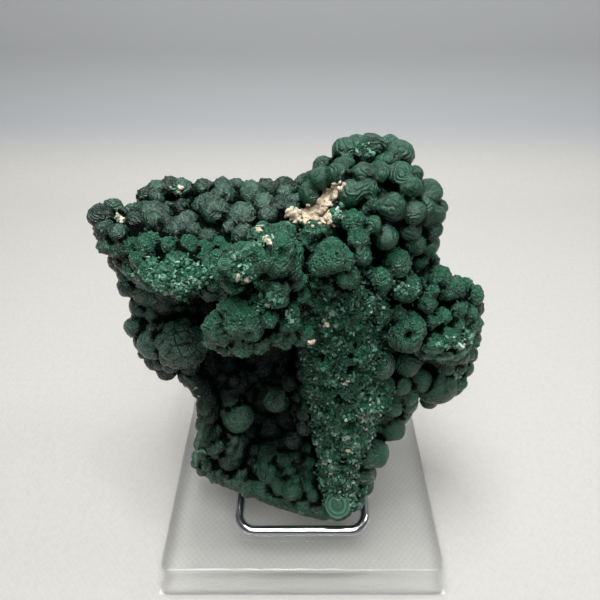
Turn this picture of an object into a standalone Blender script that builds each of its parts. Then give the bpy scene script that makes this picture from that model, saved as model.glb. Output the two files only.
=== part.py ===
"""A malachite specimen on a bent wire easel and a clear base block.

Blender 4.5, metres, +Z up. The origin is the middle of the base block's underside,
+X is to the right of someone who faces the specimen, and +Y is away from them.
Three separate pieces: the stone, which grew as one solid, the wire easel that it
leans in, and the clear block under both. Sizes below are in millimetres.
"""

import math
import random

import bmesh
import bpy
import numpy as np
from mathutils import Matrix, Vector, noise
from mathutils.geometry import intersect_point_line

MM = 0.001

# Clear block
BLOCK_BOTTOM_WIDTH = 66.0
BLOCK_TOP_WIDTH = 63.0
BLOCK_HEIGHT = 9.5
BLOCK_CORNER_RADIUS = 2.0
BLOCK_CORNER_STEPS = 3
BLOCK_EDGE_RADIUS = 0.6
BLOCK_EDGE_STEPS = 2

# Wire easel: one closed loop of wire, its front lying down and its back standing up
WIRE_DIAMETER = 2.3
EASEL_WIDTH = 32.0
EASEL_FRONT_Y = -23.3
EASEL_HEEL_Y = 12.0
EASEL_BACK_HEIGHT = 40.0
EASEL_LEAN = math.radians(12.0)
WIRE_BEND_RADIUS = 4.0
WIRE_BEND_STEPS = 4
WIRE_ROUNDNESS = 2
GAP = 0.3

# Stone
STONE_FOOT_Z = BLOCK_HEIGHT + GAP + WIRE_DIAMETER + GAP
STONE_VOXEL = 0.8
STONE_TRIANGLES = 8600
BALL_SUBDIVISIONS = 4
LUMP_SEED = 11
LUMP_TRIES = 12000
LUMP_SIZES = (1.5, 3.6)
RIB_SEED = 5
RIB_TRIES = 3000
RIB_LUMP_SIZES = (0.9, 2.1)
SMALL_LUMP_BIAS = 1.6
LUMP_SINK = 0.52
CROWDING = 0.60
BURIED = 0.86
WIRE_ROOM = 0.5
WARP_DEPTH = 0.45
WARP_LENGTH = 4.5
WARP_START = 1.8
WARP_FULL = 5.0
LEVEL_TOLERANCE = 0.1

# The masses under the crust: x, y, z of the middle, then the half sizes.
MASSES = {
    "foot": (0, -5, 17.5, 15, 13, 4.5),
    "stem": (8, -1, 33, 11, 10, 16),
    "trunk": (10, 2, 50, 12, 12, 16),
    "back wall": (-8, 8, 42, 15, 8, 24),
    "left wall": (-28, 7, 58, 8, 9, 13),
    "left foot": (-28, 1, 50, 7.5, 7, 8.5),
    "left edge": (-18, 2, 30, 5.5, 9, 15),
    "left heel": (-18, -5, 21, 6, 7, 7),
    "shelf": (-17, 4.5, 70.6, 19, 13.5, 5.6),
    "shelf back": (-17, 10, 72.2, 15, 6.5, 4.8),
    "shelf tip": (-31, 4, 73.2, 7, 7, 3),
    "middle": (1, 2, 72.2, 14.5, 10, 6.3),
    "crown": (11, 4, 78.5, 8.2, 7.6, 7.6),
    "shoulder": (15, 3, 63, 11, 10, 12),
    "wing": (28, 0, 57, 8, 8, 7),
    "hip": (22, 3, 42, 11, 8, 11),
    "dome": (30, 0, 40, 7, 6.5, 6),
    "dome neck": (31, 0, 48, 5.5, 6, 8),
    "right flank": (17.5, -4, 33, 6.5, 7, 10),
    "back": (-5, 15, 63, 25, 11, 12),
}

# Long bodies under the crust, each a row of balls: x, y, z, radius.
RIDGES = {
    "rib": [
        (4, -5, 75, 6), (6, -5, 68, 8), (7, -6.5, 60, 8), (8, -8.5, 50, 7.5), (9, -10, 42, 7),
        (9, -12, 34, 6), (9, -14, 26, 5), (9, -16, 18, 4.5),
    ],
    "left rim": [
        (-26, -3, 47, 3.0), (-23, -5.5, 43.5, 2.6), (-20.7, -7.5, 40, 2.0), (-20.7, -8.8, 35, 1.8),
        (-21.8, -9.6, 30.5, 1.8), (-23, -10, 25, 1.7), (-23.2, -10.5, 20, 1.8),
        (-21.5, -12, 16.5, 1.9),
    ],
    "left rim wall": [
        (-23, 0, 45, 4), (-20, -2, 38, 4), (-20, -3, 31, 4), (-20, -4, 25, 4), (-18.5, -5, 20, 4),
    ],
    "bottom rim": [
        (-21.5, -12, 16.5, 1.9), (-16.5, -13.8, 15.4, 2.0), (-11, -15.2, 15, 2.2),
        (-7, -16, 14, 2.6), (-3, -17, 13.5, 2.8), (1, -18, 13.4, 2.9), (5, -19, 13.5, 2.9),
        (9, -18.5, 15, 3.2),
    ],
    "wing ledge": [
        (23, -8, 55.5, 1.7), (26.5, -8.5, 54.8, 1.6), (30, -7.5, 54.8, 1.7),
        (33.5, -4.5, 54.2, 1.6), (35, -1, 55, 1.7),
    ],
}
BALLS_PER_STEP = 4

# Lumps that are seen one by one: x, y, z, radius.
LUMPS = {
    "shelf top": [
        (-37.3, 5, 76.7, 2.4), (-35.5, 1, 76.3, 1.9), (-36, 8.5, 76.5, 1.9), (-32.5, 0, 76.3, 1.7),
        (-31, 4, 76, 2.1), (-32.5, 8, 76, 1.8), (-27.5, 5, 77, 2.2), (-25.5, 8, 76.5, 1.5),
        (-28.5, 11, 77, 1.8), (-24.5, 3, 76.4, 1.5), (-22.5, 0, 76, 1.4), (-21, 3, 76.4, 2.1),
        (-19.5, 0, 76.4, 1.7), (-16, 5, 77.2, 3.1), (-15, 10, 78, 2.8), (-11.5, 4, 77.3, 2.2),
        (-13, 0.5, 76.8, 1.3), (-10.5, -1, 76.5, 2.1), (-28.5, 13.5, 77.6, 2.3), (-26, 14, 78, 2.3),
        (-30.5, 12, 77, 2.0), (-23.5, 13.5, 78, 2.2), (-19.5, 13, 78, 2.3), (-23, 8, 76.8, 1.7),
        (-10, 11, 78.2, 2.5), (-13, 13, 78, 2.3), (-7, 12.5, 78.2, 2.2), (-16, 13.5, 78, 2.3),
        (-3.5, 13, 78.6, 2.2), (0.5, 13, 79, 2.2), (-6, 1, 79, 1.9), (-4, 3, 79.6, 2.0),
        (-1.5, 4, 80, 1.7), (-7, 6, 78.4, 2.2), (-8, -3, 77.4, 1.9), (-3, 8, 80, 1.9),
        (1, 8, 81.5, 2.2),
    ],
    "shelf front": [
        (-27, -2, 75, 2.5), (-23, -3, 75.2, 2.1), (-19.5, -3, 75.2, 2.4), (-16.5, -4, 75.6, 1.8),
        (-30, -1, 74, 2.2), (-14.5, -3, 76, 1.6), (-13, -5, 75.8, 1.5), (-28, -5, 73.5, 2.0),
        (-25.5, -8, 73.8, 2.1), (-22.5, -9.5, 74, 2.3), (-20, -10, 73, 2.5), (-17.5, -9.5, 74, 2.0),
        (-15.5, -8.5, 74.8, 1.8), (-15, -9, 72, 1.4), (-30, -4, 70.8, 1.5), (-25.5, -8.5, 72, 1.6),
        (-14.5, -7, 75.6, 1.6), (-16.5, -6, 74.8, 1.8), (-21, -6, 73, 3.6),
    ],
    "crown": [
        (8, -1, 84.5, 2.3), (10.5, -1, 85.3, 1.9), (12.5, 2, 86.5, 2.1), (9.8, 2, 86.5, 2.0),
        (6, 3, 85.8, 2.4), (3.5, 4, 84.6, 2.3), (2, 6, 83.6, 2.0), (16.5, 6.5, 87.8, 2.5),
        (16, 2, 86.2, 2.4), (18.5, 3, 86, 1.6), (7.5, 8.5, 87.9, 2.3), (12, 10, 87.9, 2.5),
        (15, 9.5, 88, 2.2), (1.5, 4, 81.8, 2.3), (14.5, 5, 86.6, 2.3), (7, 5, 86.2, 2.2),
        (9.5, 9.5, 87.6, 2.6), (17.6, 6, 84.5, 2.4), (-2, 2, 79.8, 1.6), (4, 8, 84.6, 2.4),
    ],
    "grape bunch": [
        (14.5, -3, 83, 2.5), (18, -3, 82, 2.1), (22.5, 0, 80, 2.1), (17.5, 0, 85, 2.0),
        (21.5, 3, 82.5, 2.5), (18, -3, 79, 2.0), (22.5, 0, 77.3, 2.0), (19, -2, 75.6, 2.6),
        (22.3, 0, 74, 2.4), (24, 3, 80, 1.5), (13.5, -6, 79.5, 2.0), (11, -6, 81.5, 1.5),
        (20, 1, 80, 3.6), (19.5, 1.5, 76, 3.4), (16, -1.5, 80.5, 2.6),
    ],
    "under the crown": [
        (4, -12, 79.6, 2.7), (6, -12, 79, 1.9), (2.5, -13, 79, 1.8), (8, -6, 82.3, 2.0),
        (8.5, -8, 80.3, 1.8), (9, -9, 78, 1.8), (5, -6, 83, 1.3), (7, -12, 76, 2.0),
        (16, -6, 74, 2.4), (13, -9, 73, 2.0), (5, -9.5, 77.5, 3.0),
    ],
    "front knob": [
        (-3, -14, 82.6, 2.1), (-4, -15, 80.8, 2.4), (-11.3, -16, 81.2, 1.3), (-9, -16, 82.3, 1.6),
        (-7.5, -15.5, 82.8, 1.6), (-9.8, -16.6, 80.8, 1.6), (-7.8, -16.5, 81, 1.9),
        (-12, -15.5, 79, 1.2), (-10.5, -15.5, 76.8, 1.6), (-4, -16, 77, 2.3), (-4, -17, 75.6, 1.7),
        (-6, -15.6, 78.6, 1.8), (-1, -14, 76.5, 1.6), (-0.5, -14, 73.4, 1.6), (-6, -16, 81.6, 1.8),
        (-2.3, -14, 79, 2.0), (-9, -13.5, 80, 2.8), (-6, -9, 81, 2.2), (-3, -8, 81, 2.0),
        (-4.5, -11, 79, 4.6),
    ],
    "front lobe": [
        (-12.5, -17, 69.5, 3.2), (-9, -17, 71.3, 3.7), (-5.5, -17.6, 72.4, 1.9),
        (-10, -18, 67.5, 2.6), (-7.3, -17.5, 67, 2.1), (-2.5, -16, 70, 2.1), (-3, -16, 67, 2.1),
        (-2, -15, 72, 1.8), (-0.5, -15, 66, 2.0), (-11, -16.5, 73, 2.3), (-14.3, -17, 67, 1.9),
        (-12.3, -17.6, 66, 1.8), (-6.5, -16, 74.3, 1.7), (-6, -12, 71, 6.0), (-9, -14, 69.5, 4.2),
        (-5, -15, 68, 3.2),
    ],
    "wing": [
        (21, -1, 71, 2.1), (18, -4, 73.3, 1.1), (18, -5, 72.3, 1.0), (16, -5, 73.3, 1.1),
        (12.5, -6.5, 71.5, 1.2), (18, -6.5, 69.3, 3.1), (25, -2, 67.7, 2.4), (27, -3, 66, 2.3),
        (23.5, -5, 67.2, 1.5), (30, -1, 64, 1.7), (33.4, 0, 61.2, 2.6), (34, 0, 58.6, 2.5),
        (29, -4, 62, 2.5), (26, -6, 62, 1.8), (22.5, -6, 65, 2.0), (18.7, -9.6, 61.6, 3.9),
        (24.5, -8.3, 57.6, 2.7), (27.5, -7.3, 58.3, 2.6), (31, -5.8, 57, 2.6),
        (33.6, -3, 55.8, 2.2), (23, -7, 61.5, 2.1), (31, 1, 61.5, 3.2), (13, -9, 66, 2.6),
        (16, -8, 65, 2.4), (11, -10, 69, 2.0),
    ],
    "right side": [
        (29.8, -2.5, 39.3, 5.3), (36, -0.8, 41.6, 2.5), (36.2, 0, 45.6, 2.4), (35.8, 0, 49.6, 2.4),
        (29, -4, 35, 2.3), (34, -2, 37, 2.9), (31.2, -7, 41.7, 0.7), (14.5, -11, 54, 2.9),
        (20, -9, 45.5, 2.4), (22.5, -8, 41, 2.3), (23, -7.5, 37.5, 2.3), (19, -10, 39.5, 2.3),
        (16, -11, 47.5, 2.4), (20, -10.5, 33, 2.7), (16, -14, 28.5, 3.2), (14, -15.5, 22, 2.8),
        (10.5, -17, 26.5, 1.8), (20, -7, 42, 3.4), (18, -8, 36, 3.4), (17, -11, 24, 3.0),
        (14, -15, 16.4, 3.0), (13, -16, 18.5, 2.8), (25, -5, 43, 3.0), (21, -7, 50, 3.0),
    ],
    "hollow": [
        (-5.8, -5.2, 36, 2.95), (-15, -5.8, 30.6, 3.8), (-15, -4.5, 41.5, 1.4),
        (-14.6, -1.5, 38.4, 3.4), (-10.8, -1.5, 39.3, 1.4), (-20.5, -10, 25.5, 2.6),
        (-21, -9, 29, 2.3), (-8, -3, 21.5, 3.6), (-2, -6, 20.5, 2.2), (0.5, -8, 34.5, 2.0),
        (0.5, -9, 31, 2.0), (-2.5, -3.6, 40, 2.2), (-11.5, -8, 19.5, 2.0), (-12.5, -9.5, 17.4, 2.4),
        (-8, -11, 17.2, 1.7), (-9.5, -12.2, 15.8, 2.5), (-15, 0, 31, 4.8), (-9, 0, 30, 3.8),
        (-3, -3, 27, 3.6), (-17.5, -9, 16.6, 2.6), (-12, 0, 24, 4.2), (-4, -10, 17, 2.6),
        (-14.5, -12.5, 16.4, 2.2), (-2, -10, 27.5, 2.2),
    ],
    "foot edge": [
        (8.3, -19.3, 14.9, 3.4), (0.5, -15.6, 14.6, 2.7), (0.5, -16.8, 13, 2.6),
        (4.5, -17.2, 16.4, 2.0), (4.5, -18, 14.6, 2.1), (10.5, -17, 14, 2.8),
        (-14.5, -9, 15.6, 3.1), (-14.5, 2, 15.6, 3.1), (14.5, -9, 15.6, 3.1), (14.5, 2, 15.6, 3.1),
        (-5, -15.5, 14.6, 2.2), (12.3, -18, 15, 2.3),
    ],
    "left side": [
        (-23.5, -6, 54, 4.6), (-26.8, -5.5, 49, 2.4), (-23.5, -5.5, 47.6, 2.2),
        (-34.3, -1, 54.5, 2.4), (-32.5, 2, 57.5, 3.4), (-34.3, 3, 62.4, 2.6),
        (-33, -0.5, 50.5, 3.0), (-31.5, -2.4, 46.6, 2.5), (-30.5, 2, 61, 3.6), (-28, 1, 55, 3.6),
        (-35.6, 4, 67.5, 2.4), (-29.3, -3.5, 44.2, 2.2), (-24.8, -10.5, 21, 1.6),
        (-25.3, -10.8, 18.6, 1.4), (-24, -11.5, 16.6, 1.5), (-33, -1, 71, 1.7), (-34.5, 2, 66, 1.8),
        (-30, 2, 66, 3.0), (-26, 0, 63, 3.0), (-24, -3.6, 51, 4.2),
    ],
}


def ball_soup(balls):
    """Returns a bmesh of separate egg shapes, each given as a middle and three half sizes."""
    maker = bmesh.new()
    bmesh.ops.create_icosphere(maker, subdivisions=BALL_SUBDIVISIONS, radius=1.0)
    unit = bpy.data.meshes.new("unit ball")
    maker.to_mesh(unit)
    maker.free()
    soup = bmesh.new()
    for x, y, z, *half_sizes in balls:
        place = Matrix.Translation(Vector((x, y, z)) * MM)
        size = Matrix.Diagonal((*(half * MM for half in half_sizes), 1.0))
        ball = unit.copy()
        ball.transform(place @ size)
        soup.from_mesh(ball)
        bpy.data.meshes.remove(ball)
    return soup


def rounded_loop(corners, radius, steps):
    """Returns a closed path through corners, each rounded by an arc of the given radius."""
    path = []
    for here, corner in enumerate(corners):
        back = (corners[here - 1] - corner).normalized()
        ahead = (corners[(here + 1) % len(corners)] - corner).normalized()
        half_turn = back.angle(ahead) / 2
        reach = radius / math.tan(half_turn)
        hub = corner + (back + ahead).normalized() * radius / math.sin(half_turn)
        start = (corner + back * reach - hub).normalized()
        end = (corner + ahead * reach - hub).normalized()
        for step in range(steps + 1):
            path.append(hub + start.slerp(end, step / steps) * radius)
    return path


def easel_path():
    """Returns the middle line of the easel's wire: the lying front, then the leaning back."""
    half = (EASEL_WIDTH - WIRE_DIAMETER) / 2
    low = BLOCK_HEIGHT + GAP + WIRE_DIAMETER / 2
    top_y = EASEL_HEEL_Y + EASEL_BACK_HEIGHT * math.sin(EASEL_LEAN)
    top_z = low + EASEL_BACK_HEIGHT * math.cos(EASEL_LEAN)
    corners = [
        Vector((-half, EASEL_FRONT_Y, low)),
        Vector((half, EASEL_FRONT_Y, low)),
        Vector((half, EASEL_HEEL_Y, low)),
        Vector((half, top_y, top_z)),
        Vector((-half, top_y, top_z)),
        Vector((-half, EASEL_HEEL_Y, low)),
    ]
    return rounded_loop(corners, WIRE_BEND_RADIUS, WIRE_BEND_STEPS)


def depth_in_mass(point, mass):
    """Says how deep a point is in a mass: below 1 inside it, above 1 outside."""
    middle = mass[:3]
    radii = mass[3:]
    return math.sqrt(sum(((point[i] - middle[i]) / radii[i]) ** 2 for i in range(3)))


def ridge_balls(spine):
    """Returns the balls of a ridge, spaced evenly between its listed ones."""
    balls = []
    for upper, lower in zip(spine, spine[1:]):
        for step in range(BALLS_PER_STEP):
            share = step / BALLS_PER_STEP
            x, y, z, radius = [a + (b - a) * share for a, b in zip(upper, lower)]
            balls.append((x, y, z, radius, radius, radius))
    x, y, z, radius = spine[-1]
    balls.append((x, y, z, radius, radius, radius))
    return balls


def all_ridge_balls():
    """Returns the balls of all the ridges."""
    return [ball for spine in RIDGES.values() for ball in ridge_balls(spine)]


def distance_to_path(point, path):
    """Returns how far a point is from a closed path."""
    nearest = math.inf
    for start, end in zip(path, path[1:] + path[:1]):
        foot, share = intersect_point_line(point, start, end)
        foot = start if share < 0 else end if share > 1 else foot
        nearest = min(nearest, (point - foot).length)
    return nearest


def grow_lumps(lumps, hosts, masses, tries, sizes, seed):
    """Adds round lumps between the ones there are, on the bare outsides of the hosts."""
    dice = random.Random(seed)
    wire = easel_path()
    least, most = sizes
    for attempt in range(tries):
        host = hosts[attempt % len(hosts)]
        radius = least + (most - least) * dice.random() ** SMALL_LUMP_BIAS
        way = Vector([dice.gauss(0, 1) for _ in range(3)]).normalized()
        centre = [host[i] + way[i] * (host[3 + i] - LUMP_SINK * radius) for i in range(3)]
        low = centre[2] - radius < STONE_FOOT_Z
        buried = any(depth_in_mass(centre, mass) < BURIED for mass in masses if mass != host)
        if low or buried:
            continue
        if distance_to_path(Vector(centre), wire) < radius + WIRE_DIAMETER / 2 + WIRE_ROOM:
            continue
        if all(math.dist(centre, other[:3]) > CROWDING * (radius + other[3]) for other in lumps):
            lumps.append((*centre, radius))


def crust_lumps():
    """Returns all the lumps of the crust: the listed ones, then those grown between them."""
    lumps = [lump for group in LUMPS.values() for lump in group]
    masses = list(MASSES.values())
    solid = masses + all_ridge_balls()
    grow_lumps(lumps, ridge_balls(RIDGES["rib"]), solid, RIB_TRIES, RIB_LUMP_SIZES, RIB_SEED)
    grow_lumps(lumps, masses, solid, LUMP_TRIES, LUMP_SIZES, LUMP_SEED)
    return lumps


def keep_largest_shell(data):
    """Deletes every loose shell of a mesh but the one with the most corners."""
    ends = np.empty(len(data.edges) * 2, dtype=np.int64)
    data.edges.foreach_get("vertices", ends)
    first, second = ends[0::2], ends[1::2]
    shell = np.arange(len(data.vertices))
    settled = False
    while not settled:
        before = shell.copy()
        lower = np.minimum(shell[first], shell[second])
        np.minimum.at(shell, first, lower)
        np.minimum.at(shell, second, lower)
        shell = shell[shell]
        settled = np.array_equal(before, shell)
    names, sizes = np.unique(shell, return_counts=True)
    largest = names[np.argmax(sizes)]
    skin = bmesh.new()
    skin.from_mesh(data)
    skin.verts.ensure_lookup_table()
    small = [skin.verts[index] for index in np.flatnonzero(shell != largest)]
    bmesh.ops.delete(skin, geom=small, context="VERTS")
    bmesh.ops.triangulate(skin, faces=skin.faces[:])
    skin.to_mesh(data)
    skin.free()


def apply_modifier(thing, modifier):
    """Makes a modifier's result the object's own mesh, and removes the modifier."""
    graph = bpy.context.evaluated_depsgraph_get()
    thing.data = bpy.data.meshes.new_from_object(thing.evaluated_get(graph), depsgraph=graph)
    thing.modifiers.remove(modifier)


def fuse(name, soup, voxel, triangles):
    """Fuses overlapping balls into one closed skin with a given number of triangles."""
    data = bpy.data.meshes.new(name)
    soup.to_mesh(data)
    soup.free()
    solid = bpy.data.objects.new(name, data)
    bpy.context.scene.collection.objects.link(solid)
    remesh = solid.modifiers.new("fuse", "REMESH")
    remesh.mode = "VOXEL"
    remesh.voxel_size = voxel * MM
    apply_modifier(solid, remesh)
    keep_largest_shell(solid.data)
    thin = solid.modifiers.new("thin", "DECIMATE")
    thin.ratio = triangles / len(solid.data.polygons)
    apply_modifier(solid, thin)
    return solid


def warp(solid):
    """Pulls a solid's skin a little out of true, but not beside the wire."""
    wire = easel_path()
    for corner in solid.data.vertices:
        place = corner.co / MM
        free = (distance_to_path(place, wire) - WARP_START) / (WARP_FULL - WARP_START)
        free = min(1.0, max(0.0, free))
        pull = WARP_DEPTH * free * free * (3 - 2 * free)
        corner.co += noise.noise_vector(place / WARP_LENGTH) * pull * MM


def make_stone():
    """Makes the stone: masses, ridges and lumps, fused into one solid."""
    balls = [(x, y, z, radius, radius, radius) for x, y, z, radius in crust_lumps()]
    soup = ball_soup(list(MASSES.values()) + all_ridge_balls() + balls)
    stone = fuse("malachite", soup, STONE_VOXEL, STONE_TRIANGLES)
    warp(stone)
    dress(stone, "malachite green", (0.012, 0.075, 0.045), 0.55)


def make_easel():
    """Makes the wire easel, a closed loop bent into a lying front and a leaning back."""
    path = easel_path()
    wire = bpy.data.curves.new("easel", "CURVE")
    wire.dimensions = "3D"
    wire.bevel_depth = WIRE_DIAMETER / 2 * MM
    wire.bevel_resolution = WIRE_ROUNDNESS
    spline = wire.splines.new("POLY")
    spline.points.add(len(path) - 1)
    for point, place in zip(spline.points, path):
        point.co = (*(place * MM), 1.0)
    spline.use_cyclic_u = True
    easel = bpy.data.objects.new("easel", wire)
    bpy.context.scene.collection.objects.link(easel)
    dress(easel, "chromed wire", (0.62, 0.63, 0.65), 0.12, metallic=1.0)


def lies_flat(edge):
    """Says whether an edge runs level."""
    return abs(edge.verts[0].co.z - edge.verts[1].co.z) < LEVEL_TOLERANCE * MM


def make_block():
    """Makes the clear block: a square slab, wider at its foot, with rounded edges."""
    slab = bmesh.new()
    bmesh.ops.create_cube(slab, size=1.0)
    for corner in slab.verts:
        top = corner.co.z > 0
        width = BLOCK_TOP_WIDTH if top else BLOCK_BOTTOM_WIDTH
        corner.co.x *= width * MM
        corner.co.y *= width * MM
        corner.co.z = BLOCK_HEIGHT * MM if top else 0.0
    uprights = [edge for edge in slab.edges if not lies_flat(edge)]
    bmesh.ops.bevel(
        slab, geom=uprights, offset=BLOCK_CORNER_RADIUS * MM, segments=BLOCK_CORNER_STEPS,
        profile=0.5, affect="EDGES", material=-1,
    )
    rims = [edge for edge in slab.edges if lies_flat(edge)]
    bmesh.ops.bevel(
        slab, geom=rims, offset=BLOCK_EDGE_RADIUS * MM, segments=BLOCK_EDGE_STEPS,
        profile=0.5, affect="EDGES", material=-1,
    )
    data = bpy.data.meshes.new("base_block")
    slab.to_mesh(data)
    slab.free()
    block = bpy.data.objects.new("base_block", data)
    bpy.context.scene.collection.objects.link(block)
    dress(block, "clear acrylic", (0.93, 0.95, 0.94), 0.06, clear=1.0)


def dress(thing, name, colour, roughness, metallic=0.0, clear=0.0):
    """Gives an object its own Principled material."""
    material = bpy.data.materials.new(name)
    material.use_nodes = True
    shader = material.node_tree.nodes["Principled BSDF"]
    shader.inputs["Base Color"].default_value = (*colour, 1.0)
    shader.inputs["Roughness"].default_value = roughness
    shader.inputs["Metallic"].default_value = metallic
    shader.inputs["Transmission Weight"].default_value = clear
    thing.data.materials.clear()
    thing.data.materials.append(material)


def main():
    """Clears the file's own objects and builds the three pieces."""
    for old in list(bpy.data.objects):
        bpy.data.objects.remove(old, do_unlink=True)
    make_block()
    make_easel()
    make_stone()


main()
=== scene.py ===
"""Looks of a malachite specimen that leans in a wire easel on a clear block.

Metres and +Z up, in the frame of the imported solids: the origin is the middle of the
block's underside, and +Y is away from someone who faces the stone. Sizes and places
are named in millimetres, and MM turns them into metres where a shape is made.
"""

import logging
import math
import random
from dataclasses import dataclass, field
from enum import Enum
from typing import Iterable, Sequence

import bmesh
import bpy
import numpy as np
from mathutils import Matrix, Quaternion, Vector, noise
from mathutils.bvhtree import BVHTree
from mathutils.geometry import intersect_point_line


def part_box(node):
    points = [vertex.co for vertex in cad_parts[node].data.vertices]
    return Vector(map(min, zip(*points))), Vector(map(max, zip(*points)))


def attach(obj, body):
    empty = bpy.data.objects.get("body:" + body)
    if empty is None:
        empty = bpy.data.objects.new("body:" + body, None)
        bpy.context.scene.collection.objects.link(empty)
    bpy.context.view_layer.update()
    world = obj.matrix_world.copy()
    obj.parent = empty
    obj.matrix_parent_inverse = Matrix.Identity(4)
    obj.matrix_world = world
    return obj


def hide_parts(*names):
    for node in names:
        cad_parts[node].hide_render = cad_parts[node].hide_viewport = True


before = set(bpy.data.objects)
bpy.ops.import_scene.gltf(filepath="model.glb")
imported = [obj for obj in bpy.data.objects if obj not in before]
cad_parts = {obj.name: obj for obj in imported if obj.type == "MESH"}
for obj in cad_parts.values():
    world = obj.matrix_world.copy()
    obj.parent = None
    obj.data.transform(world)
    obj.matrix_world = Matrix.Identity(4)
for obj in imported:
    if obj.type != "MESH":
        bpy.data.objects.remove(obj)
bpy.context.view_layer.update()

MM = 0.001
# The least gap between the wire, the block and the stone, in millimetres.
GAP = 0.3
# Without a seed of its own, the noise would differ from one run to the next.
NOISE_SEED = 7
# How many straight steps a bend of the wire has where only distances to it matter.
COARSE_BEND = 4
COARSEST_BEND = 2
log = logging.getLogger("specimen")

Colour = tuple[float, float, float]
Ball = tuple[float, ...]
Place = tuple[float, float, float]
Spot = tuple[Vector, Quaternion, Vector, float]

# Where the camera stands. Small things land on the stone's face along lines from here.
VIEWPOINT = Vector((-0.5, -71.0, 121.0))


# ---------------------------------------------------------------- shader maths


class Number:
    """A number that changes over a surface, with arithmetic that adds Math nodes."""

    def __init__(self, graph: "Graph", socket: bpy.types.NodeSocket) -> None:
        """Keeps the graph and the socket that gives the number."""
        self.graph = graph
        self.socket = socket

    def __add__(self, other: "Number | float") -> "Number":
        """This number plus another."""
        return self.graph.maths("ADD", self, other)

    def __radd__(self, other: float) -> "Number":
        """A plain number plus this one."""
        return self.graph.maths("ADD", other, self)

    def __sub__(self, other: "Number | float") -> "Number":
        """This number less another."""
        return self.graph.maths("SUBTRACT", self, other)

    def __rsub__(self, other: float) -> "Number":
        """A plain number less this one."""
        return self.graph.maths("SUBTRACT", other, self)

    def __mul__(self, other: "Number | float") -> "Number":
        """This number times another."""
        return self.graph.maths("MULTIPLY", self, other)

    def __rmul__(self, other: float) -> "Number":
        """A plain number times this one."""
        return self.graph.maths("MULTIPLY", other, self)


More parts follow.
